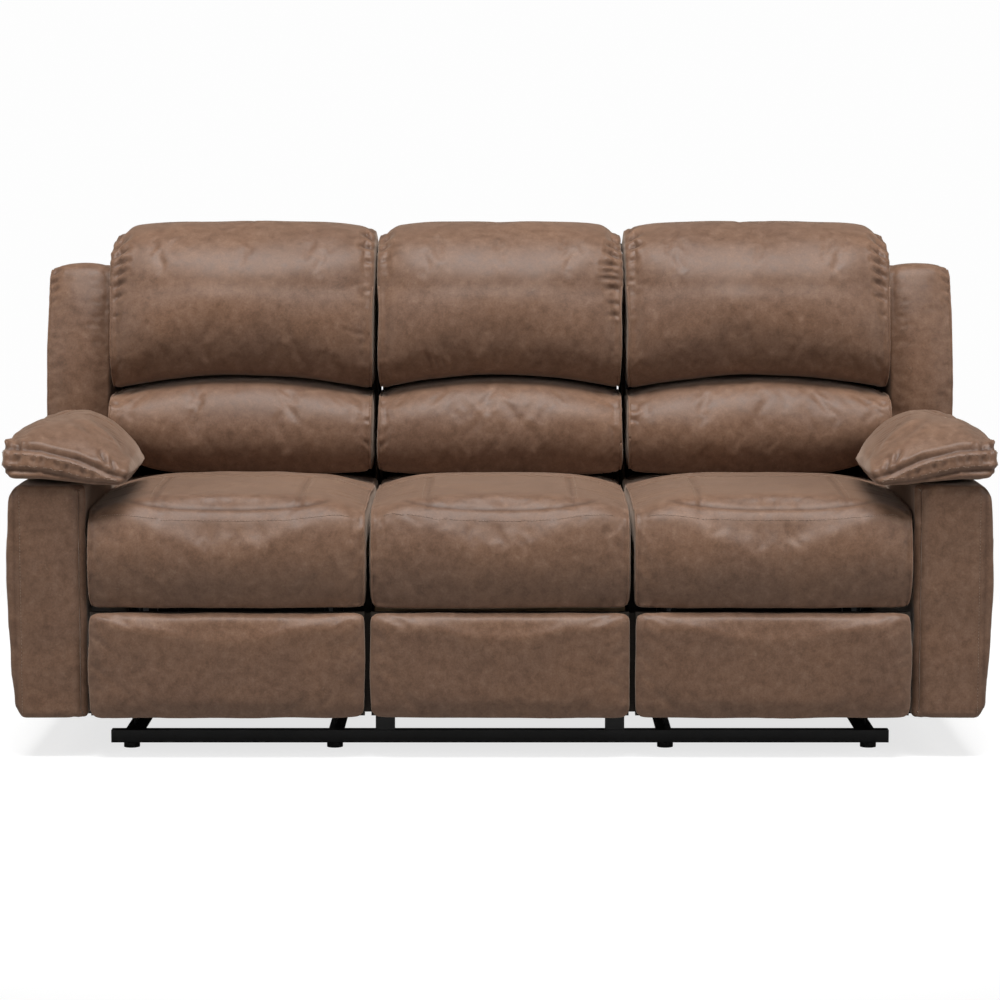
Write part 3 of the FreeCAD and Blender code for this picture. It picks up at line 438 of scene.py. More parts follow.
class Soft:
    """One upholstered piece while it is made."""

    def __init__(self, node, voxel=0.008, shrink=0.008, cap=0.016, fill=0.8, round_off=9, filled=True):
        self.node, self.body = node, BODY_OF[node]
        self.cap, self.fill, self.filled = cap, fill, filled
        mesh = frame["nodes"][node].data.copy()
        weld(mesh)
        self.seams = sharp_segments(mesh, SEWN_ANGLE)
        if node.endswith("_cushion"):
            # the brow of a cushion isn't sewn: seams run at its ends and behind
            middles = self.seams.mean(axis=1)
            low, high = self.seams.min(axis=(0, 1)), self.seams.max(axis=(0, 1))
            at_end = np.minimum(middles[:, 0] - low[0], high[0] - middles[:, 0]) < 0.02
            behind = middles[:, 1] > 0.4 * low[1] + 0.6 * high[1]
            self.seams = self.seams[at_end | behind]
        self.piece = bpy.data.objects.new(f"{node}_form", mesh)
        bpy.context.scene.collection.objects.link(self.piece)
        change = self.piece.modifiers.new("Voxels", "REMESH")
        change.mode = "VOXEL"
        change.voxel_size = voxel
        apply_all(self.piece)
        mesh = self.piece.data
        mesh.materials.clear()
        points, edges = read_points(mesh), read_edges(mesh)
        self.hold = np.exp(-(distance_to(points, self.seams) / HOLD_REACH) ** 2)
        points = relax(points, edges, round_off)
        write_points(mesh, points)
        normals = read_normals(mesh)
        if filled:
            # a cover is tight where it meets a neighbour, its frame or what it rests on
            self.hold = np.maximum(self.hold, smooth_step(np.abs(normals[:, 0]), 0.55, 0.85))
            self.hold = np.maximum(self.hold, smooth_step(normals[:, 1], 0.45, 0.8))
            self.hold = np.maximum(self.hold, smooth_step(-normals[:, 2], 0.6, 0.9))
            points = points - normals * (shrink * (1 - self.hold))[:, None]
            points = relax(points, edges, 2, 0.5, 1 - self.hold)
        self.start = points
        write_points(mesh, points)

    def add_cloth(self, pressure=4.0, slack=0.008):
        piece = self.piece
        held = piece.vertex_groups.new(name="held")
        for i in np.flatnonzero(self.hold > 0.02):
            held.add([int(i)], float(self.hold[i]), "REPLACE")
        cloth = piece.modifiers.new("Cloth", "CLOTH")
        rules = cloth.settings
        rules.quality = 4
        rules.mass = 0.4
        rules.tension_stiffness = rules.compression_stiffness = 18
        rules.shear_stiffness = 8
        rules.bending_stiffness = 0.6
        rules.use_pressure = True
        rules.uniform_pressure_force = pressure
        rules.vertex_group_mass = "held"
        rules.pin_stiffness = 2.0
        rules.effector_weights.gravity = 0.0
        rules.shrink_min = -slack
        cloth.collision_settings.use_collision = False
        cloth.point_cache.frame_start = 1
        cloth.point_cache.frame_end = CLOTH_FRAMES

    def take_cloth(self):
        """Keep the simulated form, with no point further from its start than the cap."""
        swollen = evaluated(self.piece)
        points = read_points(swollen)
        bpy.data.meshes.remove(swollen)
        self.piece.modifiers.clear()
        self.piece.vertex_groups.clear()
        move = points - self.start
        length = np.linalg.norm(move, axis=1)
        limit = self.cap * np.tanh(length / self.cap) / np.maximum(length, 1e-9)
        write_points(self.piece.data, self.start + move * limit[:, None])

    def refine(self):
        if self.filled:
            change = self.piece.modifiers.new("Finer", "SUBSURF")
            change.levels = change.render_levels = 1
            apply_all(self.piece)
        mesh = self.piece.data
        self.points, self.normals = read_points(mesh), read_normals(mesh)
        self.view = to_view(self.points)
        self.lift = np.zeros(len(self.points))
        self.painted_shading = np.full(len(self.points), UNSHADED_LEVEL)
        self.front = smooth_step(-self.normals[:, 1], -0.1, 0.25)
        self.seam_gap = distance_to(self.points, self.seams)

    def groove(self, gap, depth, width, where=1.0, lip=0.4, shade=0.34):
        """Cut in along a line that gap is the distance from, with a soft lip on both sides, and painted
        shade darkening the colour along the cut.
        """
        cut = np.exp(-(gap / width) ** 2)
        self.lift += where * depth * (lip * np.exp(-((gap - 2.2 * width) / width) ** 2) - cut)
        # painted shade along the cut
        self.painted_shading -= shade * where * np.exp(-(gap / (width * 0.7)) ** 2)

    def folds(self, strokes):
        """Creases given by where they show in the view: places, width in pixels, depth in mm, with painted
        shade in each crease and painted highlight on its crests.
        """
        for line, width, depth in strokes:
            width = max(width, 2.3)
            depth = depth * 1.6
            gap, place = along_line(self.view, line)
            taper = np.sin(np.pi * np.clip(place, 0.05, 0.95)) ** 0.6
            near = np.exp(-(gap / width) ** 2)
            crest = np.exp(-((gap - 1.9 * width) / (1.1 * width)) ** 2)
            shape = taper * self.front
            self.lift += depth * 0.001 * shape * (0.5 * crest - near)
            # painted shade in the crease, painted highlight on the crests
            self.painted_shading += shape * (0.12 * crest - 0.30 * near) * min(1.2, depth / 4.0)

    def gathers(self, seed, depth, spacing=0.020):
        """Small irregular puckers that run in from the sewn edges, painted lighter where they rise and
        darker where they sink: painted highlight and shade.
        """
        ripple = waves(self.points, seed, spacing)
        rise = np.exp(-self.seam_gap / GATHER_REACH) * smooth_step(self.seam_gap, 0.001, 0.010)
        patch = np.clip(0.35 + 0.9 * waves(self.points, seed + 50, 0.15), 0, 1)
        self.lift += depth * rise * ripple * patch
        # painted highlight on the rises, painted shade in the hollows
        self.painted_shading += 0.12 * rise * ripple * patch

    def settle(self, seed, depth=0.0012, length=0.13):
        """Slow unevenness of a filled cover."""
        self.lift += depth * waves(self.points, seed, length)

    def finish(self):
        mesh = self.piece.data
        self.points = self.points + self.normals * self.lift[:, None]
        write_points(mesh, self.points)
        # painted shade and highlight of folds, seams and puckers, read by the leather's colour
        painted_shade_and_highlight = mesh.attributes.new("painted_shade_and_highlight", "FLOAT", "POINT")
        painted_shade_and_highlight.data.foreach_set("value", np.clip(self.painted_shading, 0, 1).astype(np.float32))
        mesh.materials.append(LEATHER)
        mesh.polygons.foreach_set("use_smooth", np.ones(len(mesh.polygons), dtype=bool))
        mesh.update()
        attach(self.piece, self.body)
        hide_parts(self.node)
        faces = np.empty(len(mesh.loops), dtype=np.int64)
        mesh.loops.foreach_get("vertex_index", faces)
        if len(faces) == 4 * len(mesh.polygons):
            faces = faces.reshape(-1, 4).tolist()
        else:
            faces = [tuple(p.vertices) for p in mesh.polygons]
        self.tree = BVHTree.FromPolygons(self.points.tolist(), faces)


def drape(tree, line, step):
    """Even steps along a line, each put on the nearest place of a surface, with its normal."""
    line = np.asarray(line, float)
    lengths = np.linalg.norm(np.diff(line, axis=0), axis=1)
    before = np.concatenate([[0], np.cumsum(lengths)])
    count = max(3, int(before[-1] / step))
    spots = []
    for reach in np.linspace(0, before[-1], count + 1):
        i = min(int(np.searchsorted(before, reach, "right")) - 1, len(lengths) - 1)
        share = (reach - before[i]) / max(lengths[i], 1e-9)
        place = Vector(line[i] + share * (line[i + 1] - line[i]))
        spot, normal, _, _ = tree.find_nearest(place)
        spots.append((spot, normal))
    return spots


def add_mesh(name, body, verts, faces, skin):
    mesh = bpy.data.meshes.new(name)
    mesh.from_pydata([tuple(v) for v in verts], [], faces)
    mesh.materials.append(skin)
    mesh.polygons.foreach_set("use_smooth", np.ones(len(mesh.polygons), dtype=bool))
    # painted highlight: on the leather welts this level paints them a little lighter
    painted_shade_and_highlight = mesh.attributes.new("painted_shade_and_highlight", "FLOAT", "POINT")
    painted_shade_and_highlight.data.foreach_set("value", np.full(len(verts), SEWN_HIGHLIGHT_LEVEL, dtype=np.float32))
    mesh.update()
    piece = bpy.data.objects.new(name, mesh)
    bpy.context.scene.collection.objects.link(piece)
    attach(piece, body)


def ring(centre, over, up, radius, sides):
    """Points round a place, in the plane of two directions."""
    turns = [2 * math.pi * k / sides for k in range(sides)]
    return [centre + (over * math.cos(turn) + up * math.sin(turn)) * radius for turn in turns]


def tube(base, count, sides):
    """Faces of a closed tube through rings of points, the first of them numbered base."""
    faces = []
    for i in range(count - 1):
        for k in range(sides):
            a, b = base + i * sides + k, base + i * sides + (k + 1) % sides
            faces.append((a, b, b + sides, a + sides))
    faces.append(tuple(base + k for k in reversed(range(sides))))
    faces.append(tuple(base + (count - 1) * sides + k for k in range(sides)))
    return faces


def add_stitches(name, body, rows):
    """Sewn thread: one small rounded stitch between the draped spots of each row."""
    verts, faces = [], []
    rings = ((-1.0, 0.25), (-0.7, 0.85), (0.0, 1.0), (0.7, 0.85), (1.0, 0.25))
    sides = 6
    for spots in rows:
        for (here, up), (after, _) in zip(spots, spots[1:]):
            way = after - here
            if way.length < STITCH_LENGTH * 0.5:
                continue
            way.normalize()
            over = way.cross(up).normalized()
            base = len(verts)
            for reach, girth in rings:
                rise = 0.0002 + 0.0004 * (1 - reach * reach)
                centre = here + way * (reach * STITCH_LENGTH / 2) + up * rise
                verts += ring(centre, over, up, STITCH_RADIUS * girth, sides)
            faces += tube(base, len(rings), sides)
    add_mesh(name, body, verts, faces, THREAD)


def add_welt(name, body, runs, radius):
    """Covered cord sewn into an edge: tubes along draped spots."""
    verts, faces = [], []
    sides = 8
    for spots in runs:
        count = len(spots)
        places = np.array([spot + normal * radius * (1 - 2 * CORD_SINK) for spot, normal in spots])
        for _ in range(2):
            places[1:-1] = 0.25 * places[:-2] + 0.5 * places[1:-1] + 0.25 * places[2:]
        base = len(verts)
        up = Vector(spots[0][1])
        for i in range(count):
            way = Vector(places[min(i + 1, count - 1)] - places[max(i - 1, 0)]).normalized()
            up = (up - way * up.dot(way)).normalized()
            over = way.cross(up)
            verts += ring(Vector(places[i]), over, up, radius, sides)
        faces += tube(base, count, sides)
    add_mesh(name, body, verts, faces, LEATHER)


def end_runs(soft, sides, keep):
    """Draped cord places on the sewn outline at a piece's ends, where keep holds for the place."""
    ends = soft.seams[:, :, 0]
    runs = []
    for side in sides:
        limit = ends.min() if side < 0 else ends.max()
        flat = np.all(np.abs(ends - limit) < 0.0012, axis=1)
        kept = [pair for pair in soft.seams[flat] if keep(pair.mean(axis=0))]
        runs += [drape(soft.tree, line, CORD_STEP) for line in chains(kept) if len(line) > 2]
    return runs


# Folds, by where they show: (line), width in pixels, depth in millimetres

UPPER_FOLDS = {
    "left": [
        ([(115, 239), (121, 233), (129, 228)], 1.9, 3.2), ([(114, 249), (121, 243), (130, 238)], 1.8, 3.0),
        ([(114, 259), (121, 253), (129, 249)], 1.8, 3.0), ([(114.5, 268), (121, 263), (128, 260)], 1.7, 2.6),
        ([(115, 277), (121, 273), (127, 270)], 1.7, 2.4), ([(115, 288), (120, 284), (125, 282)], 1.7, 2.2),
        ([(115, 299), (119, 296), (123, 294)], 1.6, 1.8), ([(113, 318), (118, 315)], 1.6, 1.2),
        ([(376, 243), (371, 240), (363, 236)], 1.9, 3.4), ([(375, 250), (368, 248), (360, 247)], 1.8, 3.2),
        ([(377, 237), (373, 233), (367, 227)], 1.8, 3.0), ([(373, 263), (364, 261)], 1.8, 1.8),
        ([(372, 336), (357, 333), (340, 328)], 2.4, 0.6), ([(371, 291), (362, 290)], 1.8, 1.2),
    ],
    "centre": [
        ([(380, 243), (385, 239), (392, 236)], 1.9, 3.4), ([(380, 249), (385, 246), (390, 244)], 1.8, 2.8),
        ([(380, 236), (385, 231), (391, 226)], 1.8, 3.0), ([(381, 262), (388, 259)], 1.8, 1.6),
        ([(609, 237), (615, 239), (621, 243)], 1.9, 3.4), ([(607, 245), (614, 246), (621, 249)], 1.8, 3.0),
        ([(606, 252), (613, 255), (621, 259)], 1.8, 2.8), ([(602, 264), (611, 265), (621, 268)], 1.9, 2.6),
        ([(602, 272), (611, 272), (619, 274)], 1.7, 2.2), ([(600, 278), (610, 278), (620, 280)], 1.7, 2.2),
        ([(606, 289), (613, 288), (621, 290)], 1.8, 2.0), ([(607, 302), (614, 303), (621, 305)], 1.8, 1.8),
        ([(608, 315), (615, 315), (621, 317)], 1.8, 1.6), ([(426, 353), (429, 359), (432, 366)], 2.0, 1.6),
        ([(433, 355), (436, 361), (440, 368)], 2.0, 1.7), ([(441, 358), (444, 363), (447, 368)], 2.0, 1.4),
    ],
    "right": [
        ([(871, 228), (878, 233), (885, 239)], 1.9, 3.2), ([(870, 238), (878, 243), (886, 249)], 1.8, 3.0),
        ([(871, 248), (879, 253), (885, 258)], 1.8, 3.0), ([(872, 259), (879, 263), (885, 268)], 1.7, 2.6),
        ([(873, 269), (879, 273), (885, 277)], 1.7, 2.4), ([(874, 281), (880, 284), (885, 288)], 1.7, 2.2),
        ([(875, 294), (880, 297), (885, 300)], 1.6, 1.8), ([(880, 313), (886, 317)], 1.6, 1.2),
        ([(628, 243), (634, 240), (640, 236)], 1.9, 3.4), ([(628, 250), (635, 248), (642, 246)], 1.8, 3.0),
        ([(627, 236), (631, 232), (636, 227)], 1.8, 3.0), ([(629, 262), (637, 259)], 1.8, 1.8),
        ([(628, 281), (635, 280)], 1.7, 1.2),
    ],
}
LUMBAR_FOLDS = {
    "left": [([(372, 420), (364, 421)], 1.8, 1.4), ([(371, 446), (363, 440)], 2.0, 1.4),
             ([(111, 402), (119, 405)], 1.8, 1.4)],
    "centre": [([(378, 402), (385, 405)], 1.8, 1.4), ([(624, 404), (617, 407)], 1.8, 1.4),
               ([(379, 447), (386, 441)], 2.0, 1.4)],
    "right": [([(628, 408), (636, 410)], 1.8, 1.4), ([(629, 419), (637, 421)], 1.8, 1.2),
              ([(888, 402), (881, 405)], 1.8, 1.4)],
}
WING_FOLDS = [([(53, 268), (57, 264), (62, 261)], 1.6, 2.4), ([(52, 276), (56, 272), (60, 270)], 1.6, 2.2),
              ([(51, 285), (55, 281), (59, 279)], 1.6, 2.0), ([(50.5, 294), (54, 291), (57, 289)], 1.5, 1.6),
              ([(50, 304), (53, 301), (56, 300)], 1.5, 1.2)]
PAD_FOLDS = [([(74, 411), (93, 417), (112, 430), (126, 445), (134, 458)], 3.0, 2.6),
             ([(88, 416), (105, 427), (119, 442), (127, 458)], 2.6, 2.2),
             ([(60, 415), (80, 424), (98, 440)], 3.2, 1.4),
             ([(100, 452), (104, 459), (107, 467)], 2.2, 3.4),
             ([(110, 459), (113, 467), (115, 475)], 2.0, 3.0),
             ([(17, 439), (19, 444), (18, 450)], 2.0, 2.4), ([(24, 442), (25, 448)], 1.8, 1.4),
             ([(128, 452), (134, 460), (137, 470)], 2.4, 1.8),
             ([(19, 454), (17, 464)], 1.7, 1.8), ([(31, 456), (33, 464)], 1.7, 1.5),
             ([(42, 456), (40, 467)], 1.7, 1.6), ([(54, 460), (57, 468)], 1.7, 1.5),
             ([(67, 463), (66, 472)], 1.7, 1.7), ([(80, 468), (83, 476)], 1.7, 1.6),
             ([(93, 474), (92, 481)], 1.7, 1.6)]

# Top outline of the left arm pad and the height of its upper seam in the view, and metres per pixel there
PAD_OUTLINE = [(0, 452), (2, 446), (6, 439), (13, 433), (25, 425), (43, 415), (60, 411), (75, 409.5),
               (90, 410), (103, 414), (115, 420), (125, 428), (134, 438), (140, 448), (146, 460)]
PAD_SEAM_LINE = 462.0
VIEW_PIXEL = 0.00198


def mirrored(strokes, shift=0.6):
    """Strokes for the other half, a little different in place."""
    return [([(VIEW_SIZE - x + shift, y - shift) for x, y in line], width, depth * 0.95)
            for line, width, depth in strokes]


def pad_seams(across):
    """Heights of the two seams round an arm pad at distances from the middle."""
    high = np.interp(across, (0.716, 0.744, 0.819, 0.888, 0.954), (0.551, 0.558, 0.591, 0.608, 0.612))
    low = np.interp(across, (0.716, 0.789, 0.843, 0.893, 0.952), (0.541, 0.5455, 0.557, 0.568, 0.570))
    return high, low


def lift_pad(soft):
    """The pad's underside rises from the arm towards its front and outer edge, and its crown is round."""
    points = soft.points
    across = np.abs(points[:, 0])
    _, low = pad_seams(across)
    in_front = 0.25 + 0.75 * smooth_step(-points[:, 1], 0.36, 0.45)
    under = 1 - smooth_step(points[:, 2], 0.545, 0.625)
    points[:, 2] += 0.45 * np.maximum(low - 0.539, 0) * in_front * under
    # the crown's outline in the view becomes a round one, the seam below it stays
    view = to_view(points)
    along = np.where(view[:, 0] > VIEW_MIDDLE, VIEW_SIZE - view[:, 0], view[:, 0])
    columns = np.arange(0, 150, 3.0)
    now = np.array([view[np.abs(along - c) < 3, 1].min(initial=999) for c in columns])
    good = now < 900
    now = np.interp(columns, columns[good], now[good])
    now = np.convolve(np.pad(now, 2, mode="edge"), np.full(5, 0.2), "valid")
    wanted = np.interp(columns, *zip(*PAD_OUTLINE))
    raised = np.interp(along, columns, now - wanted) * VIEW_PIXEL
    highest = np.interp(along, columns, now)
    weight = smooth_step(PAD_SEAM_LINE - view[:, 1], 0, np.maximum(PAD_SEAM_LINE - highest, 6))
    points[:, 2] += raised * weight
    mesh = soft.piece.data
    write_points(mesh, points)
    soft.points, soft.normals = read_points(mesh), read_normals(mesh)
    soft.view = to_view(soft.points)


def round_corners(soft, middle):
    """Top corners of an upper cushion drop, and its ends swell towards the neighbours near the top."""
    points = soft.points
    aside = np.abs(points[:, 0] - middle)
    half, top = aside.max(), points[:, 2].max()
    points[:, 2] += 0.006 * smooth_step(points[:, 2], top - 0.10, top - 0.01)
    corner = 0.014 * smooth_step(aside, half - 0.045, half)
    points[:, 2] -= corner * smooth_step(points[:, 2], top - 0.09, top - 0.01)
    end = 0.003 * smooth_step(np.abs(soft.normals[:, 0]), 0.6, 0.9)
    soft.lift += end * smooth_step(points[:, 2], 0.84, 0.92)


def smile_height(aside, half):
    """Height of the seam on a seat's brow, at distances from its middle."""
    return 0.489 + 0.030 * (np.abs(aside) / half) ** 2.2


def seat_seams(soft, middle):
    """Smile seam on the brow, two seams from front to back and one across near the back."""
    points = soft.points
    aside = points[:, 0] - middle
    half = np.abs(soft.seams[:, :, 0] - middle).max()
    brow = smooth_step(-points[:, 1], 0.38, 0.41)
    soft.groove(np.abs(points[:, 2] - smile_height(aside, half)), 0.0013, 0.0035, brow, 0.15, 0.30)
    top = smooth_step(soft.normals[:, 2], 0.3, 0.7) * smooth_step(points[:, 1], -0.435, -0.40)
    before = 1 - smooth_step(points[:, 1], -0.10, -0.09)
    soft.groove(np.abs(np.abs(aside) - SEAT_SEAM_PLACE), 0.0024, 0.0055, top * before, 0.3, 0.22)
    soft.groove(np.abs(points[:, 1] + 0.094), 0.0026, 0.0055, top, 0.3, 0.22)
    side_seam = np.abs(soft.seam_gap - 0.012)
    soft.groove(side_seam, 0.0011, 0.004, soft.front, 0.2, 0.12)


SOFT = {}
for word in MIDDLES:
    SOFT[f"{word}_seat_cushion"] = Soft(f"{word}_seat_cushion", cap=0.012, fill=0.85)
    SOFT[f"{word}_upper_cushion"] = Soft(f"{word}_upper_cushion", 0.007, cap=0.016, fill=0.8)
    SOFT[f"{word}_lumbar_cushion"] = Soft(f"{word}_lumbar_cushion", cap=0.014, fill=0.8)
    panel = "centre_panel_pad" if word == "centre" else f"{word}_footrest_pad"
    SOFT[panel] = Soft(panel, 0.007, cap=0.005, fill=0.9, shrink=0.002)
    SOFT[f"{word}_back_cover"] = Soft(f"{word}_back_cover", 0.0045, fill=0.3, round_off=1, filled=False)
for word, _ in SIDES:
    SOFT[f"{word}_wing_cushion"] = Soft(f"{word}_wing_cushion", 0.007, cap=0.010)
    SOFT[f"{word}_arm_pad"] = Soft(f"{word}_arm_pad", 0.007, cap=0.012)
    SOFT[f"{word}_arm_cover"] = Soft(f"{word}_arm_cover", 0.006, fill=0.4, round_off=3, filled=False)

filled = [soft for soft in SOFT.values() if soft.filled]
for soft in filled:
    soft.add_cloth()
for number in range(1, CLOTH_FRAMES + 1):
    bpy.context.scene.frame_set(number)
for soft in filled:
    soft.take_cloth()
bpy.context.scene.frame_set(1)

for seed, (node, soft) in enumerate(SOFT.items(), 1):
    word, kind = node.split("_", 1)
    soft.refine()
    soft.settle(seed)
    if kind == "arm_pad":
        lift_pad(soft)
        high, low = pad_seams(np.abs(soft.points[:, 0]))
        upright = 1 - smooth_step(np.abs(soft.normals[:, 2]), 0.75, 0.95)
        soft.groove(np.abs(soft.points[:, 2] - high), 0.0045, 0.0055, upright)
        soft.groove(np.abs(soft.points[:, 2] - low), 0.0030, 0.0045, upright)
        soft.folds(PAD_FOLDS if word == "left" else mirrored(PAD_FOLDS))
        soft.gathers(seed + 20, 0.0010)
    elif kind == "upper_cushion":
        round_corners(soft, MIDDLES[word])
        soft.folds(UPPER_FOLDS[word])
        soft.gathers(seed + 20, 0.0012)
    elif kind == "lumbar_cushion":
        soft.folds(LUMBAR_FOLDS[word])
        soft.gathers(seed + 20, 0.0010)
    elif kind == "wing_cushion":
        soft.folds(WING_FOLDS if word == "left" else mirrored(WING_FOLDS))
        soft.gathers(seed + 20, 0.0012)
    elif kind == "seat_cushion":
        seat_seams(soft, MIDDLES[word])
        soft.gathers(seed + 20, 0.0010, 0.022)
    elif kind == "arm_cover":
        front = soft.points[:, 1] < -0.440
        outer_gap = np.abs(np.abs(soft.points[:, 0]) - 0.944)
        soft.groove(outer_gap, 0.0016, 0.006, front * soft.front, 0.3, 0.22)
        inner = smooth_step(0.850 - np.abs(soft.points[:, 0]), 0.0, 0.045)
        soft.lift -= 0.016 * inner ** 1.5 * front * soft.front
    elif kind in ("footrest_pad", "panel_pad"):
        soft.gathers(seed + 20, 0.0006, 0.022)
    soft.finish()


def sew():
    """Covered cords on the sewn edges and rows of stitches along the seams."""
    for word, middle in MIDDLES.items():
        for kind in ("upper_cushion", "lumbar_cushion"):
            soft = SOFT[f"{word}_{kind}"]
            runs = end_runs(soft, (-1, 1), lambda p: p[1] < 0.34 and p[2] < 0.90)
            add_welt(f"{word}_{kind}_welts", soft.body, runs, CORD_RADIUS)
        soft = SOFT[f"{word}_seat_cushion"]
        runs = end_runs(soft, (-1, 1), lambda p: p[1] < 0.03 and (p[2] > 0.43 or p[1] < -0.44))
        add_welt(f"{word}_seat_cushion_welts", soft.body, runs, THIN_CORD_RADIUS)
        half = np.abs(soft.seams[:, :, 0] - middle).max() - 0.012
        across = np.linspace(-half, half, SEAM_POINTS)
        front = np.full(SEAM_POINTS, -0.47)
        smile = np.stack([middle + across, front, smile_height(across, half) - 0.0045], axis=1)
        rows = [drape(soft.tree, smile, STITCH_STEP)]
        flat = np.stack([middle + across, np.full(SEAM_POINTS, -0.100), np.full(SEAM_POINTS, 0.54)], axis=1)
        rows.append(drape(soft.tree, flat, STITCH_STEP))
        for place in (-0.148, 0.148):
            line = np.array([(middle + place, -0.41, 0.54), (middle + place, -0.10, 0.54)])
            rows.append(drape(soft.tree, line, STITCH_STEP))
        add_stitches(f"{word}_seat_stitches", soft.body, rows)
    for word, side in SIDES:
        pad = SOFT[f"{word}_arm_pad"]
        rows = []
        across = np.linspace(0.735, 0.952, 40)
        for level, offset in zip(pad_seams(across), (0.0075, 0.0065)):
            line = np.stack([side * across, np.full(40, -0.50), level + offset], axis=1)
            rows.append(drape(pad.tree, line, STITCH_STEP))
        for level in (0.6135, 0.5695):
            line = np.array([(side * 0.99, y, level) for y in np.linspace(-0.45, 0.12, 30)])
            rows.append(drape(pad.tree, line, STITCH_STEP))
        add_stitches(f"{word}_arm_pad_stitches", pad.body, rows)
        arm = SOFT[f"{word}_arm_cover"]
        line = np.array([(side * 0.9375, -0.50, z) for z in np.linspace(0.09, 0.525, 30)])
        add_stitches(f"{word}_arm_stitches", arm.body, [drape(arm.tree, line, STITCH_STEP)])
        wing = SOFT[f"{word}_wing_cushion"]
        runs = end_runs(wing, (side,), lambda p: p[1] < 0.30 and p[2] > 0.56)
        add_welt(f"{word}_wing_cushion_welts", wing.body, runs, THIN_CORD_RADIUS)


def x_ends(node):
    """Low and high X end of a solid, in the frame."""
    piece = frame["nodes"][node]
    places = [(piece.matrix_world @ vertex.co)[0] for vertex in piece.data.vertices]
    return min(places), max(places)


def add_slot_shade():
    """Near-black sheets in the slots between the middle back and the outer ones, fixed to the middle one:
    painted shade where the slots show dark.
    """
    play = 0.0004
    inner = x_ends("centre_back_cover")[1] + play
    outer = x_ends("right_back_cover")[0] - play
    if outer <= inner:
        return
    outline = [(0.200, 0.36), (0.330, 0.36), (0.420, 0.90), (0.430, 0.985), (0.300, 0.985), (0.225, 0.60)]
    count = len(outline)
    verts, faces = [], []
    for side in (-1, 1):
        base = len(verts)
        for x in (inner, outer):
            verts += [(side * x, y, z) for y, z in outline]
        faces.append(tuple(base + i for i in range(count)))
        faces.append(tuple(base + count + i for i in reversed(range(count))))
        for i in range(count):
            after = (i + 1) % count
            faces.append((base + i, base + count + i, base + count + after, base + after))
    # painted shade: the sheets take the near-black shade timber
    add_mesh("back_slot_shade", "sofa_base", verts, faces, SHADE_TIMBER)


sew()
add_slot_shade()

# Camera, floor and light

lens = bpy.data.cameras.new("camera")
lens.sensor_width = SENSOR
lens.lens = FOCAL_PIXELS * SENSOR / VIEW_SIZE
camera = bpy.data.objects.new("camera", lens)
bpy.context.scene.collection.objects.link(camera)
camera.location = CAMERA_PLACE
camera.rotation_euler = (CAMERA_AIM - CAMERA_PLACE).to_track_quat("-Z", "Y").to_euler()
bpy.context.scene.camera = camera


def add_light(name, place, aim, width, height, power):
    data = bpy.data.lights.new(name, "AREA")
    data.shape = "RECTANGLE"
    data.size, data.size_y = width, height
    data.energy = power
    light = bpy.data.objects.new(name, data)
    light.location = place
    light.rotation_euler = (Vector(aim) - Vector(place)).to_track_quat("-Z", "Y").to_euler()
    bpy.context.scene.collection.objects.link(light)


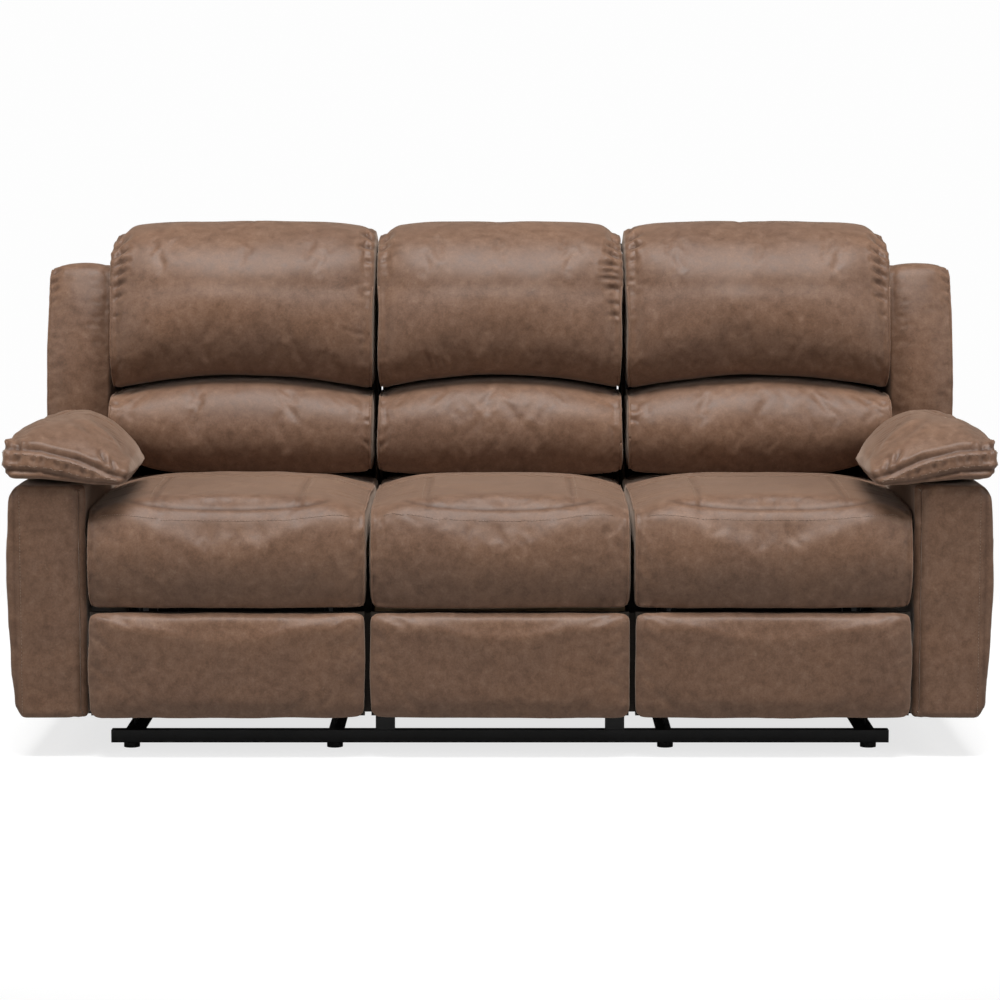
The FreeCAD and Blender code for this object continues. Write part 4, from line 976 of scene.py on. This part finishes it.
def add_floor():
    """Pale seamless floor: almost white to the eye, with the shadow the object throws."""
    made, tree = material("studio_floor")
    path = add_node(tree, "ShaderNodeLightPath")
    place = add_node(tree, "ShaderNodeTexCoord").outputs["Object"]
    speck = ramp(tree, noise(tree, place, 3.0), [(0.3, grey(0.38)), (0.7, grey(0.40))])
    plain = add_node(tree, "ShaderNodeBsdfDiffuse", Color=speck)
    glow = add_node(tree, "ShaderNodeEmission", Color=(1, 1, 1, 1), Strength=0.75)
    half = add_node(tree, "ShaderNodeBsdfDiffuse", Color=(0.36, 0.36, 0.36, 1))
    near = tree.nodes.new("ShaderNodeAddShader")
    tree.links.new(half.outputs[0], near.inputs[0])
    tree.links.new(glow.outputs[0], near.inputs[1])
    # far from the object the floor runs into the backdrop
    white = add_node(tree, "ShaderNodeEmission", Color=(0.985, 0.985, 0.985, 1), Strength=1.0)
    away = add_node(tree, "ShaderNodeVectorMath", Vector=place)
    away.operation = "LENGTH"
    reach = value_of(tree, "MULTIPLY", away.outputs["Value"], 0.1)
    reach = ramp(tree, reach, [(0.13, grey(0)), (0.23, grey(1))])
    seen = tree.nodes.new("ShaderNodeMixShader")
    tree.links.new(reach, seen.inputs[0])
    tree.links.new(near.outputs[0], seen.inputs[1])
    tree.links.new(white.outputs[0], seen.inputs[2])
    pick = add_node(tree, "ShaderNodeMixShader", Fac=path.outputs["Is Camera Ray"])
    tree.links.new(plain.outputs[0], pick.inputs[1])
    tree.links.new(seen.outputs[0], pick.inputs[2])
    add_node(tree, "ShaderNodeOutputMaterial", Surface=pick.outputs[0])
    mesh = bpy.data.meshes.new("studio_floor")
    mesh.from_pydata([(-14, -14, 0), (14, -14, 0), (14, 14, 0), (-14, 14, 0)], [], [(0, 1, 2, 3)])
    mesh.materials.append(made)
    floor = bpy.data.objects.new("studio_floor", mesh)
    bpy.context.scene.collection.objects.link(floor)


def set_world():
    world = bpy.data.worlds.new("studio")
    world.use_nodes = True
    tree = world.node_tree
    tree.nodes.clear()
    path = add_node(tree, "ShaderNodeLightPath")
    soft = add_node(tree, "ShaderNodeBackground", Color=(1.0, 1.0, 1.0, 1), Strength=0.07)
    white = add_node(tree, "ShaderNodeBackground", Color=(0.985, 0.985, 0.985, 1), Strength=1.0)
    pick = add_node(tree, "ShaderNodeMixShader", Fac=path.outputs["Is Camera Ray"])
    tree.links.new(soft.outputs[0], pick.inputs[1])
    tree.links.new(white.outputs[0], pick.inputs[2])
    add_node(tree, "ShaderNodeOutputWorld", Surface=pick.outputs[0])
    bpy.context.scene.world = world


add_floor()
set_world()
add_light("key", (0, -2.7, 9.0), (0, -0.1, 0.5), 7.0, 3.0, 1180)
add_light("left_soft", (-3.6, -2.6, 2.2), (0, -0.2, 0.6), 1.0, 2.2, 34)
add_light("right_soft", (3.6, -2.6, 2.2), (0, -0.2, 0.6), 1.0, 2.2, 38)
add_light("front_fill", (0, -7.5, 2.6), (0, 0, 0.5), 3.5, 2.0, 8)
bpy.context.scene.view_settings.view_transform = "Standard"
